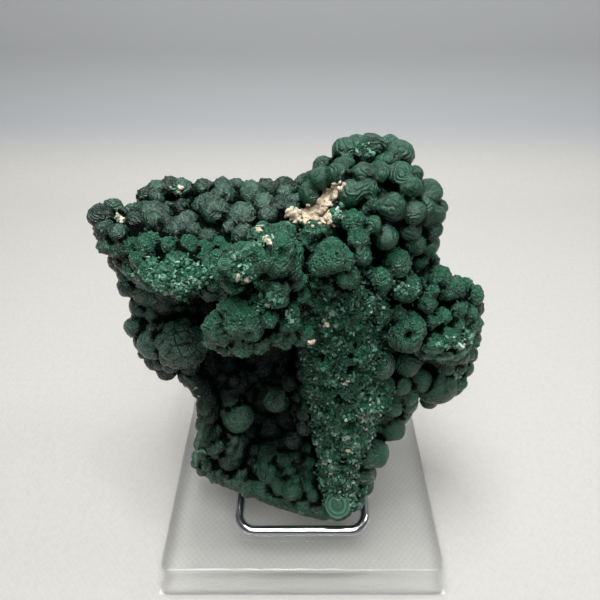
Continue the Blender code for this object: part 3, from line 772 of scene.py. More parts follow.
@dataclass
class Form:
    """The stone's form: masses of rock, ridges, and the round lumps of the crust."""

    foot_z: float = 12.4
    lump_seed: int = 11
    lump_tries: int = 12000
    lump_sizes: tuple[float, float] = (1.5, 3.6)
    rib_seed: int = 5
    rib_tries: int = 3000
    rib_lump_sizes: tuple[float, float] = (0.9, 2.1)
    small_bias: float = 1.6
    sink: float = 0.52
    crowding: float = 0.60
    buried: float = 0.86
    wire_room: float = 0.5
    warp: float = 0.45
    warp_length: float = 4.5
    masses: dict[str, Mass] = field(default_factory=lambda: {
        "foot": Mass((0, -5, 17.5), (15, 13, 4.5)),
        "stem": Mass((8, -1, 33), (11, 10, 16)),
        "trunk": Mass((10, 2, 50), (12, 12, 16)),
        "back wall": Mass((-8, 8, 42), (15, 8, 24), Habit.VELVET),
        "left wall": Mass((-28, 7, 58), (8, 9, 13), Habit.VELVET),
        "left foot": Mass((-28, 1, 50), (7.5, 7, 8.5), Habit.VELVET),
        "left edge": Mass((-18, 2, 30), (5.5, 9, 15), Habit.VELVET),
        "left heel": Mass((-18, -5, 21), (6, 7, 7), Habit.VELVET),
        "shelf": Mass((-17, 4.5, 70.6), (19, 13.5, 5.6), Habit.VELVET),
        "shelf back": Mass((-17, 10, 72.2), (15, 6.5, 4.8), Habit.VELVET),
        "shelf tip": Mass((-31, 4, 73.2), (7, 7, 3), Habit.VELVET),
        "middle": Mass((1, 2, 72.2), (14.5, 10, 6.3), Habit.ROUGH),
        "crown": Mass((11, 4, 78.5), (8.2, 7.6, 7.6), Habit.ROUGH),
        "shoulder": Mass((15, 3, 63), (11, 10, 12), Habit.ROUGH),
        "wing": Mass((28, 0, 57), (8, 8, 7), Habit.ROUGH),
        "hip": Mass((22, 3, 42), (11, 8, 11)),
        "dome": Mass((30, 0, 40), (7, 6.5, 6)),
        "dome neck": Mass((31, 0, 48), (5.5, 6, 8)),
        "right flank": Mass((17.5, -4, 33), (6.5, 7, 10)),
        "back": Mass((-5, 15, 63), (25, 11, 12)),
    })
    ridges: dict[str, Ridge] = field(default_factory=lambda: {
        "rib": Ridge([
            (4, -5, 75, 6), (6, -5, 68, 8), (7, -6.5, 60, 8), (8, -8.5, 50, 7.5), (9, -10, 42, 7),
            (9, -12, 34, 6), (9, -14, 26, 5), (9, -16, 18, 4.5),
        ]),
        "left rim": Ridge([
            (-26, -3, 47, 3.0), (-23, -5.5, 43.5, 2.6), (-20.7, -7.5, 40, 2.0),
            (-20.7, -8.8, 35, 1.8), (-21.8, -9.6, 30.5, 1.8), (-23, -10, 25, 1.7),
            (-23.2, -10.5, 20, 1.8), (-21.5, -12, 16.5, 1.9),
        ]),
        "left rim wall": Ridge([
            (-23, 0, 45, 4), (-20, -2, 38, 4), (-20, -3, 31, 4), (-20, -4, 25, 4),
            (-18.5, -5, 20, 4),
        ]),
        "bottom rim": Ridge([
            (-21.5, -12, 16.5, 1.9), (-16.5, -13.8, 15.4, 2.0), (-11, -15.2, 15, 2.2),
            (-7, -16, 14, 2.6), (-3, -17, 13.5, 2.8), (1, -18, 13.4, 2.9), (5, -19, 13.5, 2.9),
            (9, -18.5, 15, 3.2),
        ]),
        "wing ledge": Ridge([
            (23, -8, 55.5, 1.7), (26.5, -8.5, 54.8, 1.6), (30, -7.5, 54.8, 1.7),
            (33.5, -4.5, 54.2, 1.6), (35, -1, 55, 1.7),
        ]),
    })
    lumps: dict[str, tuple[Habit, list[Ball]]] = field(default_factory=lambda: {
        "shelf top": (Habit.VELVET, [
            (-37.3, 5, 76.7, 2.4), (-35.5, 1, 76.3, 1.9), (-36, 8.5, 76.5, 1.9),
            (-32.5, 0, 76.3, 1.7), (-31, 4, 76, 2.1), (-32.5, 8, 76, 1.8), (-27.5, 5, 77, 2.2),
            (-25.5, 8, 76.5, 1.5), (-28.5, 11, 77, 1.8), (-24.5, 3, 76.4, 1.5), (-22.5, 0, 76, 1.4),
            (-21, 3, 76.4, 2.1), (-19.5, 0, 76.4, 1.7), (-16, 5, 77.2, 3.1), (-15, 10, 78, 2.8),
            (-11.5, 4, 77.3, 2.2), (-13, 0.5, 76.8, 1.3), (-10.5, -1, 76.5, 2.1),
            (-28.5, 13.5, 77.6, 2.3), (-26, 14, 78, 2.3), (-30.5, 12, 77, 2.0),
            (-23.5, 13.5, 78, 2.2), (-19.5, 13, 78, 2.3), (-23, 8, 76.8, 1.7), (-10, 11, 78.2, 2.5),
            (-13, 13, 78, 2.3), (-7, 12.5, 78.2, 2.2), (-16, 13.5, 78, 2.3), (-3.5, 13, 78.6, 2.2),
            (0.5, 13, 79, 2.2), (-6, 1, 79, 1.9), (-4, 3, 79.6, 2.0), (-1.5, 4, 80, 1.7),
            (-7, 6, 78.4, 2.2), (-8, -3, 77.4, 1.9), (-3, 8, 80, 1.9), (1, 8, 81.5, 2.2),
        ]),
        "shelf front": (Habit.ROUGH, [
            (-27, -2, 75, 2.5), (-23, -3, 75.2, 2.1), (-19.5, -3, 75.2, 2.4),
            (-16.5, -4, 75.6, 1.8), (-30, -1, 74, 2.2), (-14.5, -3, 76, 1.6), (-13, -5, 75.8, 1.5),
            (-28, -5, 73.5, 2.0), (-25.5, -8, 73.8, 2.1), (-22.5, -9.5, 74, 2.3),
            (-20, -10, 73, 2.5), (-17.5, -9.5, 74, 2.0), (-15.5, -8.5, 74.8, 1.8),
            (-15, -9, 72, 1.4), (-30, -4, 70.8, 1.5), (-25.5, -8.5, 72, 1.6),
            (-14.5, -7, 75.6, 1.6), (-16.5, -6, 74.8, 1.8), (-21, -6, 73, 3.6),
        ]),
        "crown": (Habit.SMOOTH, [
            (8, -1, 84.5, 2.3), (10.5, -1, 85.3, 1.9), (12.5, 2, 86.5, 2.1), (9.8, 2, 86.5, 2.0),
            (6, 3, 85.8, 2.4), (3.5, 4, 84.6, 2.3), (2, 6, 83.6, 2.0), (16.5, 6.5, 87.8, 2.5),
            (16, 2, 86.2, 2.4), (18.5, 3, 86, 1.6), (7.5, 8.5, 87.9, 2.3), (12, 10, 87.9, 2.5),
            (15, 9.5, 88, 2.2), (1.5, 4, 81.8, 2.3), (14.5, 5, 86.6, 2.3), (7, 5, 86.2, 2.2),
            (9.5, 9.5, 87.6, 2.6), (17.6, 6, 84.5, 2.4), (-2, 2, 79.8, 1.6), (4, 8, 84.6, 2.4),
        ]),
        "grape bunch": (Habit.SMOOTH, [
            (14.5, -3, 83, 2.5), (18, -3, 82, 2.1), (22.5, 0, 80, 2.1), (17.5, 0, 85, 2.0),
            (21.5, 3, 82.5, 2.5), (18, -3, 79, 2.0), (22.5, 0, 77.3, 2.0), (19, -2, 75.6, 2.6),
            (22.3, 0, 74, 2.4), (24, 3, 80, 1.5), (13.5, -6, 79.5, 2.0), (11, -6, 81.5, 1.5),
            (20, 1, 80, 3.6), (19.5, 1.5, 76, 3.4), (16, -1.5, 80.5, 2.6),
        ]),
        "under the crown": (Habit.ROUGH, [
            (4, -12, 79.6, 2.7), (6, -12, 79, 1.9), (2.5, -13, 79, 1.8), (8, -6, 82.3, 2.0),
            (8.5, -8, 80.3, 1.8), (9, -9, 78, 1.8), (5, -6, 83, 1.3), (7, -12, 76, 2.0),
            (16, -6, 74, 2.4), (13, -9, 73, 2.0), (5, -9.5, 77.5, 3.0),
        ]),
        "front knob": (Habit.ROUGH, [
            (-3, -14, 82.6, 2.1), (-4, -15, 80.8, 2.4), (-11.3, -16, 81.2, 1.3),
            (-9, -16, 82.3, 1.6), (-7.5, -15.5, 82.8, 1.6), (-9.8, -16.6, 80.8, 1.6),
            (-7.8, -16.5, 81, 1.9), (-12, -15.5, 79, 1.2), (-10.5, -15.5, 76.8, 1.6),
            (-4, -16, 77, 2.3), (-4, -17, 75.6, 1.7), (-6, -15.6, 78.6, 1.8), (-1, -14, 76.5, 1.6),
            (-0.5, -14, 73.4, 1.6), (-6, -16, 81.6, 1.8), (-2.3, -14, 79, 2.0),
            (-9, -13.5, 80, 2.8), (-6, -9, 81, 2.2), (-3, -8, 81, 2.0), (-4.5, -11, 79, 4.6),
        ]),
        "front lobe": (Habit.ROUGH, [
            (-12.5, -17, 69.5, 3.2), (-9, -17, 71.3, 3.7), (-5.5, -17.6, 72.4, 1.9),
            (-10, -18, 67.5, 2.6), (-7.3, -17.5, 67, 2.1), (-2.5, -16, 70, 2.1), (-3, -16, 67, 2.1),
            (-2, -15, 72, 1.8), (-0.5, -15, 66, 2.0), (-11, -16.5, 73, 2.3), (-14.3, -17, 67, 1.9),
            (-12.3, -17.6, 66, 1.8), (-6.5, -16, 74.3, 1.7), (-6, -12, 71, 6.0),
            (-9, -14, 69.5, 4.2), (-5, -15, 68, 3.2),
        ]),
        "wing": (Habit.ROUGH, [
            (21, -1, 71, 2.1), (18, -4, 73.3, 1.1), (18, -5, 72.3, 1.0), (16, -5, 73.3, 1.1),
            (12.5, -6.5, 71.5, 1.2), (18, -6.5, 69.3, 3.1), (25, -2, 67.7, 2.4), (27, -3, 66, 2.3),
            (23.5, -5, 67.2, 1.5), (30, -1, 64, 1.7), (33.4, 0, 61.2, 2.6), (34, 0, 58.6, 2.5),
            (29, -4, 62, 2.5), (26, -6, 62, 1.8), (22.5, -6, 65, 2.0), (18.7, -9.6, 61.6, 3.9),
            (24.5, -8.3, 57.6, 2.7), (27.5, -7.3, 58.3, 2.6), (31, -5.8, 57, 2.6),
            (33.6, -3, 55.8, 2.2), (23, -7, 61.5, 2.1), (31, 1, 61.5, 3.2), (13, -9, 66, 2.6),
            (16, -8, 65, 2.4), (11, -10, 69, 2.0),
        ]),
        "right side": (Habit.SMOOTH, [
            (29.8, -2.5, 39.3, 5.3), (36, -0.8, 41.6, 2.5), (36.2, 0, 45.6, 2.4),
            (35.8, 0, 49.6, 2.4), (29, -4, 35, 2.3), (34, -2, 37, 2.9), (31.2, -7, 41.7, 0.7),
            (14.5, -11, 54, 2.9), (20, -9, 45.5, 2.4), (22.5, -8, 41, 2.3), (23, -7.5, 37.5, 2.3),
            (19, -10, 39.5, 2.3), (16, -11, 47.5, 2.4), (20, -10.5, 33, 2.7), (16, -14, 28.5, 3.2),
            (14, -15.5, 22, 2.8), (10.5, -17, 26.5, 1.8), (20, -7, 42, 3.4), (18, -8, 36, 3.4),
            (17, -11, 24, 3.0), (14, -15, 16.4, 3.0), (13, -16, 18.5, 2.8), (25, -5, 43, 3.0),
            (21, -7, 50, 3.0),
        ]),
        "hollow": (Habit.VELVET, [
            (-5.8, -5.2, 36, 2.95), (-15, -5.8, 30.6, 3.8), (-15, -4.5, 41.5, 1.4),
            (-14.6, -1.5, 38.4, 3.4), (-10.8, -1.5, 39.3, 1.4), (-20.5, -10, 25.5, 2.6),
            (-21, -9, 29, 2.3), (-8, -3, 21.5, 3.6), (-2, -6, 20.5, 2.2), (0.5, -8, 34.5, 2.0),
            (0.5, -9, 31, 2.0), (-2.5, -3.6, 40, 2.2), (-11.5, -8, 19.5, 2.0),
            (-12.5, -9.5, 17.4, 2.4), (-8, -11, 17.2, 1.7), (-9.5, -12.2, 15.8, 2.5),
            (-15, 0, 31, 4.8), (-9, 0, 30, 3.8), (-3, -3, 27, 3.6), (-17.5, -9, 16.6, 2.6),
            (-12, 0, 24, 4.2), (-4, -10, 17, 2.6), (-14.5, -12.5, 16.4, 2.2), (-2, -10, 27.5, 2.2),
        ]),
        "foot edge": (Habit.SMOOTH, [
            (8.3, -19.3, 14.9, 3.4), (0.5, -15.6, 14.6, 2.7), (0.5, -16.8, 13, 2.6),
            (4.5, -17.2, 16.4, 2.0), (4.5, -18, 14.6, 2.1), (10.5, -17, 14, 2.8),
            (-14.5, -9, 15.6, 3.1), (-14.5, 2, 15.6, 3.1), (14.5, -9, 15.6, 3.1),
            (14.5, 2, 15.6, 3.1), (-5, -15.5, 14.6, 2.2), (12.3, -18, 15, 2.3),
        ]),
        "left side": (Habit.VELVET, [
            (-23.5, -6, 54, 4.6), (-26.8, -5.5, 49, 2.4), (-23.5, -5.5, 47.6, 2.2),
            (-34.3, -1, 54.5, 2.4), (-32.5, 2, 57.5, 3.4), (-34.3, 3, 62.4, 2.6),
            (-33, -0.5, 50.5, 3.0), (-31.5, -2.4, 46.6, 2.5), (-30.5, 2, 61, 3.6),
            (-28, 1, 55, 3.6), (-35.6, 4, 67.5, 2.4), (-29.3, -3.5, 44.2, 2.2),
            (-24.8, -10.5, 21, 1.6), (-25.3, -10.8, 18.6, 1.4), (-24, -11.5, 16.6, 1.5),
            (-33, -1, 71, 1.7), (-34.5, 2, 66, 1.8), (-30, 2, 66, 3.0), (-26, 0, 63, 3.0),
            (-24, -3.6, 51, 4.2),
        ]),
    })

    def crust(self, easel: Easel) -> tuple[list[Ball], list[Habit]]:
        """Lists the lumps of the crust, and grows more between them.

        Args:
            easel: the wire that grown lumps keep clear of.

        Returns:
            All the lumps, and how the crust grew on each.
        """
        lumps = [ball for _, group in self.lumps.values() for ball in group]
        habits = [habit for habit, group in self.lumps.values() for _ in group]
        rib = [(ball, Habit.ROUGH) for ball in self.ridges["rib"].balls()]
        masses = [(mass.numbers(), mass.habit) for mass in self.masses.values()]
        solid = [ball for ball, _ in masses] + self.ridge_balls()
        path = easel.path(COARSE_BEND)
        for hosts, tries, (least, most), seed in (
            (rib, self.rib_tries, self.rib_lump_sizes, self.rib_seed),
            (masses, self.lump_tries, self.lump_sizes, self.lump_seed),
        ):
            dice = random.Random(seed)
            for attempt in range(tries):
                host, habit = hosts[attempt % len(hosts)]
                radius = least + (most - least) * dice.random() ** self.small_bias
                way = random_way(dice)
                centre = [host[i] + way[i] * (host[3 + i] - self.sink * radius) for i in range(3)]
                if self._fits(centre, radius, host, solid, lumps, path, easel.wire / 2):
                    lumps.append((*centre, radius))
                    habits.append(habit)
        return lumps, habits

    def ridge_balls(self) -> list[Ball]:
        """Returns the balls of all the ridges."""
        return [ball for ridge in self.ridges.values() for ball in ridge.balls()]

    def _fits(
        self, centre: list[float], radius: float, host: Ball, solid: list[Ball],
        lumps: list[Ball], path: list[Vector], wire_radius: float,
    ) -> bool:
        """Says whether a lump can grow at a place.

        Args:
            centre: the lump's middle, in millimetres.
            radius: its radius.
            host: the mass or ball that it grows on.
            solid: all the masses and ridge balls, which would bury it.
            lumps: the lumps that are there already.
            path: the wire's middle line.
            wire_radius: the wire's radius.

        Returns:
            True where it is clear of the block, the wire, the masses and other lumps.
        """
        if centre[2] - radius < self.foot_z:
            return False
        if any(depth_in(centre, mass) < self.buried for mass in solid if mass != host):
            return False
        if distance_to_path(Vector(centre), path) < radius + wire_radius + self.wire_room:
            return False
        return all(
            math.dist(centre, other[:3]) > self.crowding * (radius + other[3]) for other in lumps
        )


def random_way(dice: random.Random) -> Vector:
    """Returns a direction, any as likely as another."""
    return Vector([dice.gauss(0, 1) for _ in range(3)]).normalized()


def round_balls(balls: Iterable[Ball]) -> list[Ball]:
    """Returns balls of a middle and one radius as balls of a middle and three."""
    return [(x, y, z, radius, radius, radius) for x, y, z, radius in balls]


def depth_in(point: Sequence[float], mass: Ball) -> float:
    """Says how deep a point is in a mass: below 1 inside it, above 1 outside."""
    return math.sqrt(sum(((point[i] - mass[i]) / mass[3 + i]) ** 2 for i in range(3)))


def distance_to_path(point: Vector, path: list[Vector]) -> float:
    """Measures how far a point is from a closed path.

    Args:
        point: the point.
        path: the path's corners.

    Returns:
        The least distance.
    """
    nearest = math.inf
    for start, end in zip(path, path[1:] + path[:1]):
        foot, share = intersect_point_line(point, start, end)
        foot = start if share < 0 else end if share > 1 else foot
        nearest = min(nearest, (point - foot).length)
    return nearest


# ---------------------------------------------------------------- mesh helpers


def evaluated_mesh(thing: bpy.types.Object) -> bpy.types.Mesh:
    """Returns a copy of an object's mesh with its modifiers applied."""
    graph = bpy.context.evaluated_depsgraph_get()
    return bpy.data.meshes.new_from_object(thing.evaluated_get(graph), depsgraph=graph)


def mesh_from(form: bmesh.types.BMesh) -> bpy.types.Mesh:
    """Makes a mesh of what a bmesh holds, and frees the bmesh.

    Args:
        form: the bmesh.

    Returns:
        The mesh.
    """
    data = bpy.data.meshes.new("mesh")
    form.to_mesh(data)
    form.free()
    return data


def new_piece(name: str, data: bpy.types.Mesh) -> bpy.types.Object:
    """Makes an object at the origin.

    Args:
        name: its name.
        data: its mesh.

    Returns:
        The object.
    """
    data.name = name
    piece = bpy.data.objects.new(name, data)
    bpy.context.scene.collection.objects.link(piece)
    return piece


def finish_piece(
    piece: bpy.types.Object, material: bpy.types.Material, node: str
) -> None:
    """Dresses a piece and ties it to the frame.

    Args:
        piece: the finished mesh object.
        material: its one material.
        node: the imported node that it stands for.
    """
    piece.data.materials.clear()
    piece.data.materials.append(material)
    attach(piece, "root")
    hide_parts(node)
    log.info("%s: %d faces", piece.name, len(piece.data.polygons))


class Skin:
    """The numbers of a mesh: places, normals, edges, and values at its corners."""

    def __init__(self, data: bpy.types.Mesh) -> None:
        """Reads a mesh, with places in millimetres.

        Args:
            data: the mesh.
        """
        self.data = data
        count = len(data.vertices)
        flat = np.empty(count * 3, dtype=np.float32)
        data.vertices.foreach_get("co", flat)
        self.places = flat.reshape(count, 3) / MM
        flat = np.empty(count * 3, dtype=np.float32)
        data.vertex_normals.foreach_get("vector", flat)
        self.normals = flat.reshape(count, 3)
        ends = np.empty(len(data.edges) * 2, dtype=np.int32)
        data.edges.foreach_get("vertices", ends)
        self.starts = np.concatenate([ends[0::2], ends[1::2]])
        self.ends = np.concatenate([ends[1::2], ends[0::2]])
        self.valence = np.maximum(np.bincount(self.starts, minlength=count), 1)

    def spread(self, values: np.ndarray, rounds: int) -> np.ndarray:
        """Averages values with their neighbours.

        Args:
            values: one for each corner.
            rounds: how many times.

        Returns:
            The averaged values.
        """
        for _ in range(rounds):
            total = np.bincount(self.starts, weights=values[self.ends], minlength=len(values))
            values = (values + total / self.valence) / 2
        return values

    def hollows(self) -> np.ndarray:
        """Measures how much the surface rises around each corner.

        Returns:
            The rise, per millimetre.
        """
        way = self.places[self.ends] - self.places[self.starts]
        length = np.maximum(np.einsum("ij,ij->i", way, way), 1e-6)
        rise = np.einsum("ij,ij->i", way, self.normals[self.starts]) / length
        return np.bincount(self.starts, weights=rise, minlength=len(self.places)) / self.valence

    def store(self, name: str, values: np.ndarray) -> None:
        """Keeps a value at each corner for the shader to read."""
        layer = self.data.attributes.new(name, "FLOAT", "POINT")
        layer.data.foreach_set("value", values.astype(np.float32))

    def waves(self, per_mm: float) -> np.ndarray:
        """Returns smooth noise at each corner, with so many waves to the millimetre."""
        return np.array([noise.noise(Vector(place) * per_mm) for place in self.places.tolist()])

    def level_with(self, place: np.ndarray, band: float) -> tuple[np.ndarray, np.ndarray]:
        """Finds the corners in a level band.

        Args:
            place: a place at the middle of the band, in millimetres.
            band: how far up and down the band reaches.

        Returns:
            Their numbers, and how far each is from the place.
        """
        level = np.flatnonzero(np.abs(self.places[:, 2] - place[2]) < band)
        return level, distances(self.places[level], place)

    def swell(self, heights: np.ndarray) -> None:
        """Moves the corners along their normals, by heights in millimetres."""
        self.move(self.places + self.normals * heights[:, None])

    def move(self, places: np.ndarray) -> None:
        """Puts the mesh's corners at new places.

        Args:
            places: the places, in millimetres.
        """
        self.data.vertices.foreach_set("co", (places * MM).astype(np.float32).ravel())
        self.data.update()
        self.places = places


def distances(places: np.ndarray, place: Sequence[float]) -> np.ndarray:
    """Returns how far each of some places is from one place."""
    return np.linalg.norm(places - np.array(place), axis=1)


def smooth_step(values: np.ndarray, low: float, high: float) -> np.ndarray:
    """Eases values from 0 to 1.

    Args:
        values: the values.
        low: where the result is 0, or less.
        high: where it is 1, or more.

    Returns:
        The eased values.
    """
    share = np.clip((values - low) / (high - low), 0.0, 1.0)
    return share * share * (3 - 2 * share)


def ball_soup(balls: Iterable[Ball], subdivisions: int, soup: bmesh.types.BMesh) -> None:
    """Adds egg shapes to a bmesh.

    Args:
        balls: each a middle and three half sizes, in millimetres.
        subdivisions: how fine the egg shapes are.
        soup: the bmesh that they are added to.
    """
    maker = bmesh.new()
    bmesh.ops.create_icosphere(maker, subdivisions=subdivisions, radius=1.0)
    unit = mesh_from(maker)
    for x, y, z, *half_sizes in balls:
        ball = unit.copy()
        size = Matrix.Diagonal((*(half * MM for half in half_sizes), 1.0))
        ball.transform(Matrix.Translation(Vector((x, y, z)) * MM) @ size)
        soup.from_mesh(ball)
        bpy.data.meshes.remove(ball)
    bpy.data.meshes.remove(unit)


def keep_largest_shell(data: bpy.types.Mesh) -> None:
    """Deletes every loose shell of a mesh but the one with the most corners.

    Args:
        data: the mesh.
    """
    ends = np.empty(len(data.edges) * 2, dtype=np.int64)
    data.edges.foreach_get("vertices", ends)
    first, second = ends[0::2], ends[1::2]
    shell = np.arange(len(data.vertices))
    settled = False
    while not settled:
        before = shell.copy()
        lower = np.minimum(shell[first], shell[second])
        np.minimum.at(shell, first, lower)
        np.minimum.at(shell, second, lower)
        shell = shell[shell]
        settled = np.array_equal(before, shell)
    names, sizes = np.unique(shell, return_counts=True)
    largest = names[np.argmax(sizes)]
    skin = bmesh.new()
    skin.from_mesh(data)
    skin.verts.ensure_lookup_table()
    small = [skin.verts[index] for index in np.flatnonzero(shell != largest)]
    bmesh.ops.delete(skin, geom=small, context="VERTS")
    bmesh.ops.triangulate(skin, faces=skin.faces[:])
    skin.to_mesh(data)
    skin.free()


def apply_modifier(piece: bpy.types.Object, kind: str, settings: dict) -> None:
    """Adds a modifier and makes its result the object's own mesh.

    Args:
        piece: the object.
        kind: the modifier's type.
        settings: its properties and their values.
    """
    modifier = piece.modifiers.new(kind.lower(), kind)
    for key, value in settings.items():
        setattr(modifier, key, value)
    old = piece.data
    piece.data = evaluated_mesh(piece)
    piece.modifiers.clear()
    bpy.data.meshes.remove(old)


# ---------------------------------------------------------------- the stone's pieces


class Face:
    """The stone's face, for landing small things on it."""

    def __init__(self, piece: bpy.types.Object) -> None:
        """Reads the piece that things land on."""
        self.tree = BVHTree.FromObject(piece, bpy.context.evaluated_depsgraph_get())

    def land(self, place: Sequence[float]) -> tuple[Vector, Vector] | None:
        """Finds where a line from the viewpoint through a place meets the stone.

        Args:
            place: a place near the surface, in millimetres.

        Returns:
            The surface's place in millimetres and its normal, or None.
        """
        way = (Vector(place) - VIEWPOINT).normalized()
        spot, normal, _, _ = self.tree.ray_cast(VIEWPOINT * MM, way)
        return None if spot is None else (spot / MM, normal)

    def land_near(
        self, place: Sequence[float], spread: float, reach: float, dice: random.Random
    ) -> tuple[Vector, Vector] | None:
        """Lands a point that lies at random around a place.

        Args:
            place: the middle of the points, in millimetres.
            spread: how far they lie from it, as a share of the reach.
            reach: the size of their cloud, in millimetres.
            dice: the random draws.

        Returns:
            What land returns for the point.
        """
        shift = Vector([dice.gauss(0, spread) * reach for _ in range(3)])
        return self.land(Vector(place) + shift)

    def trace(self, line: Sequence[Place], step: float) -> np.ndarray:
        """Lands points along a line.

        Args:
            line: the line's corners, in millimetres.
            step: how far apart the points are.

        Returns:
            The places where they land, in millimetres.
        """
        landed = []
        for start, end in zip(line, line[1:]):
            first, way = Vector(start), Vector(end) - Vector(start)
            count = max(1, round(way.length / step))
            for number in range(count):
                found = self.land(first + way * (number / count))
                if found:
                    landed.append(found[0])
        return np.array(landed)


def scatter(shapes: Sequence[bpy.types.Mesh], spots: Sequence[Spot]) -> bpy.types.Mesh:
    """Makes one mesh of many small copies of a few shapes, used in turn.

    Args:
        shapes: small meshes of about unit size. They are removed afterwards.
        spots: for each copy its place and half sizes in millimetres, its turn, and
            the shade that its corners store.

    Returns:
        The mesh.
    """
    soup = bmesh.new()
    shades = []
    for number, (place, turn, sizes, shade) in enumerate(spots):
        shape = shapes[number % len(shapes)].copy()
        size = Matrix.Diagonal((*(sizes * MM), 1.0))
        shape.transform(Matrix.Translation(place * MM) @ turn.to_matrix().to_4x4() @ size)
        soup.from_mesh(shape)
        shades += [shade] * len(shape.vertices)
        bpy.data.meshes.remove(shape)
    for shape in shapes:
        bpy.data.meshes.remove(shape)
    data = mesh_from(soup)
    layer = data.attributes.new("shade", "FLOAT", "POINT")
    layer.data.foreach_set("value", shades)
    return data


def inside_box(spots: list[Spot], margin: float) -> list[Spot]:
    """Drops the spots that are outside the stone's box.

    Args:
        spots: the spots.
        margin: how far inside its sides they have to be, in millimetres.

    Returns:
        The spots that are left.
    """
    low, high = [Vector(corner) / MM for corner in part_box("malachite")]
    return [
        spot for spot in spots
        if all(low[i] + margin < spot[0][i] < high[i] - margin for i in range(3))
    ]


def random_turn(dice: random.Random) -> Quaternion:
    """Returns a turn in any direction."""
    return Quaternion([dice.gauss(0, 1) for _ in range(4)]).normalized()


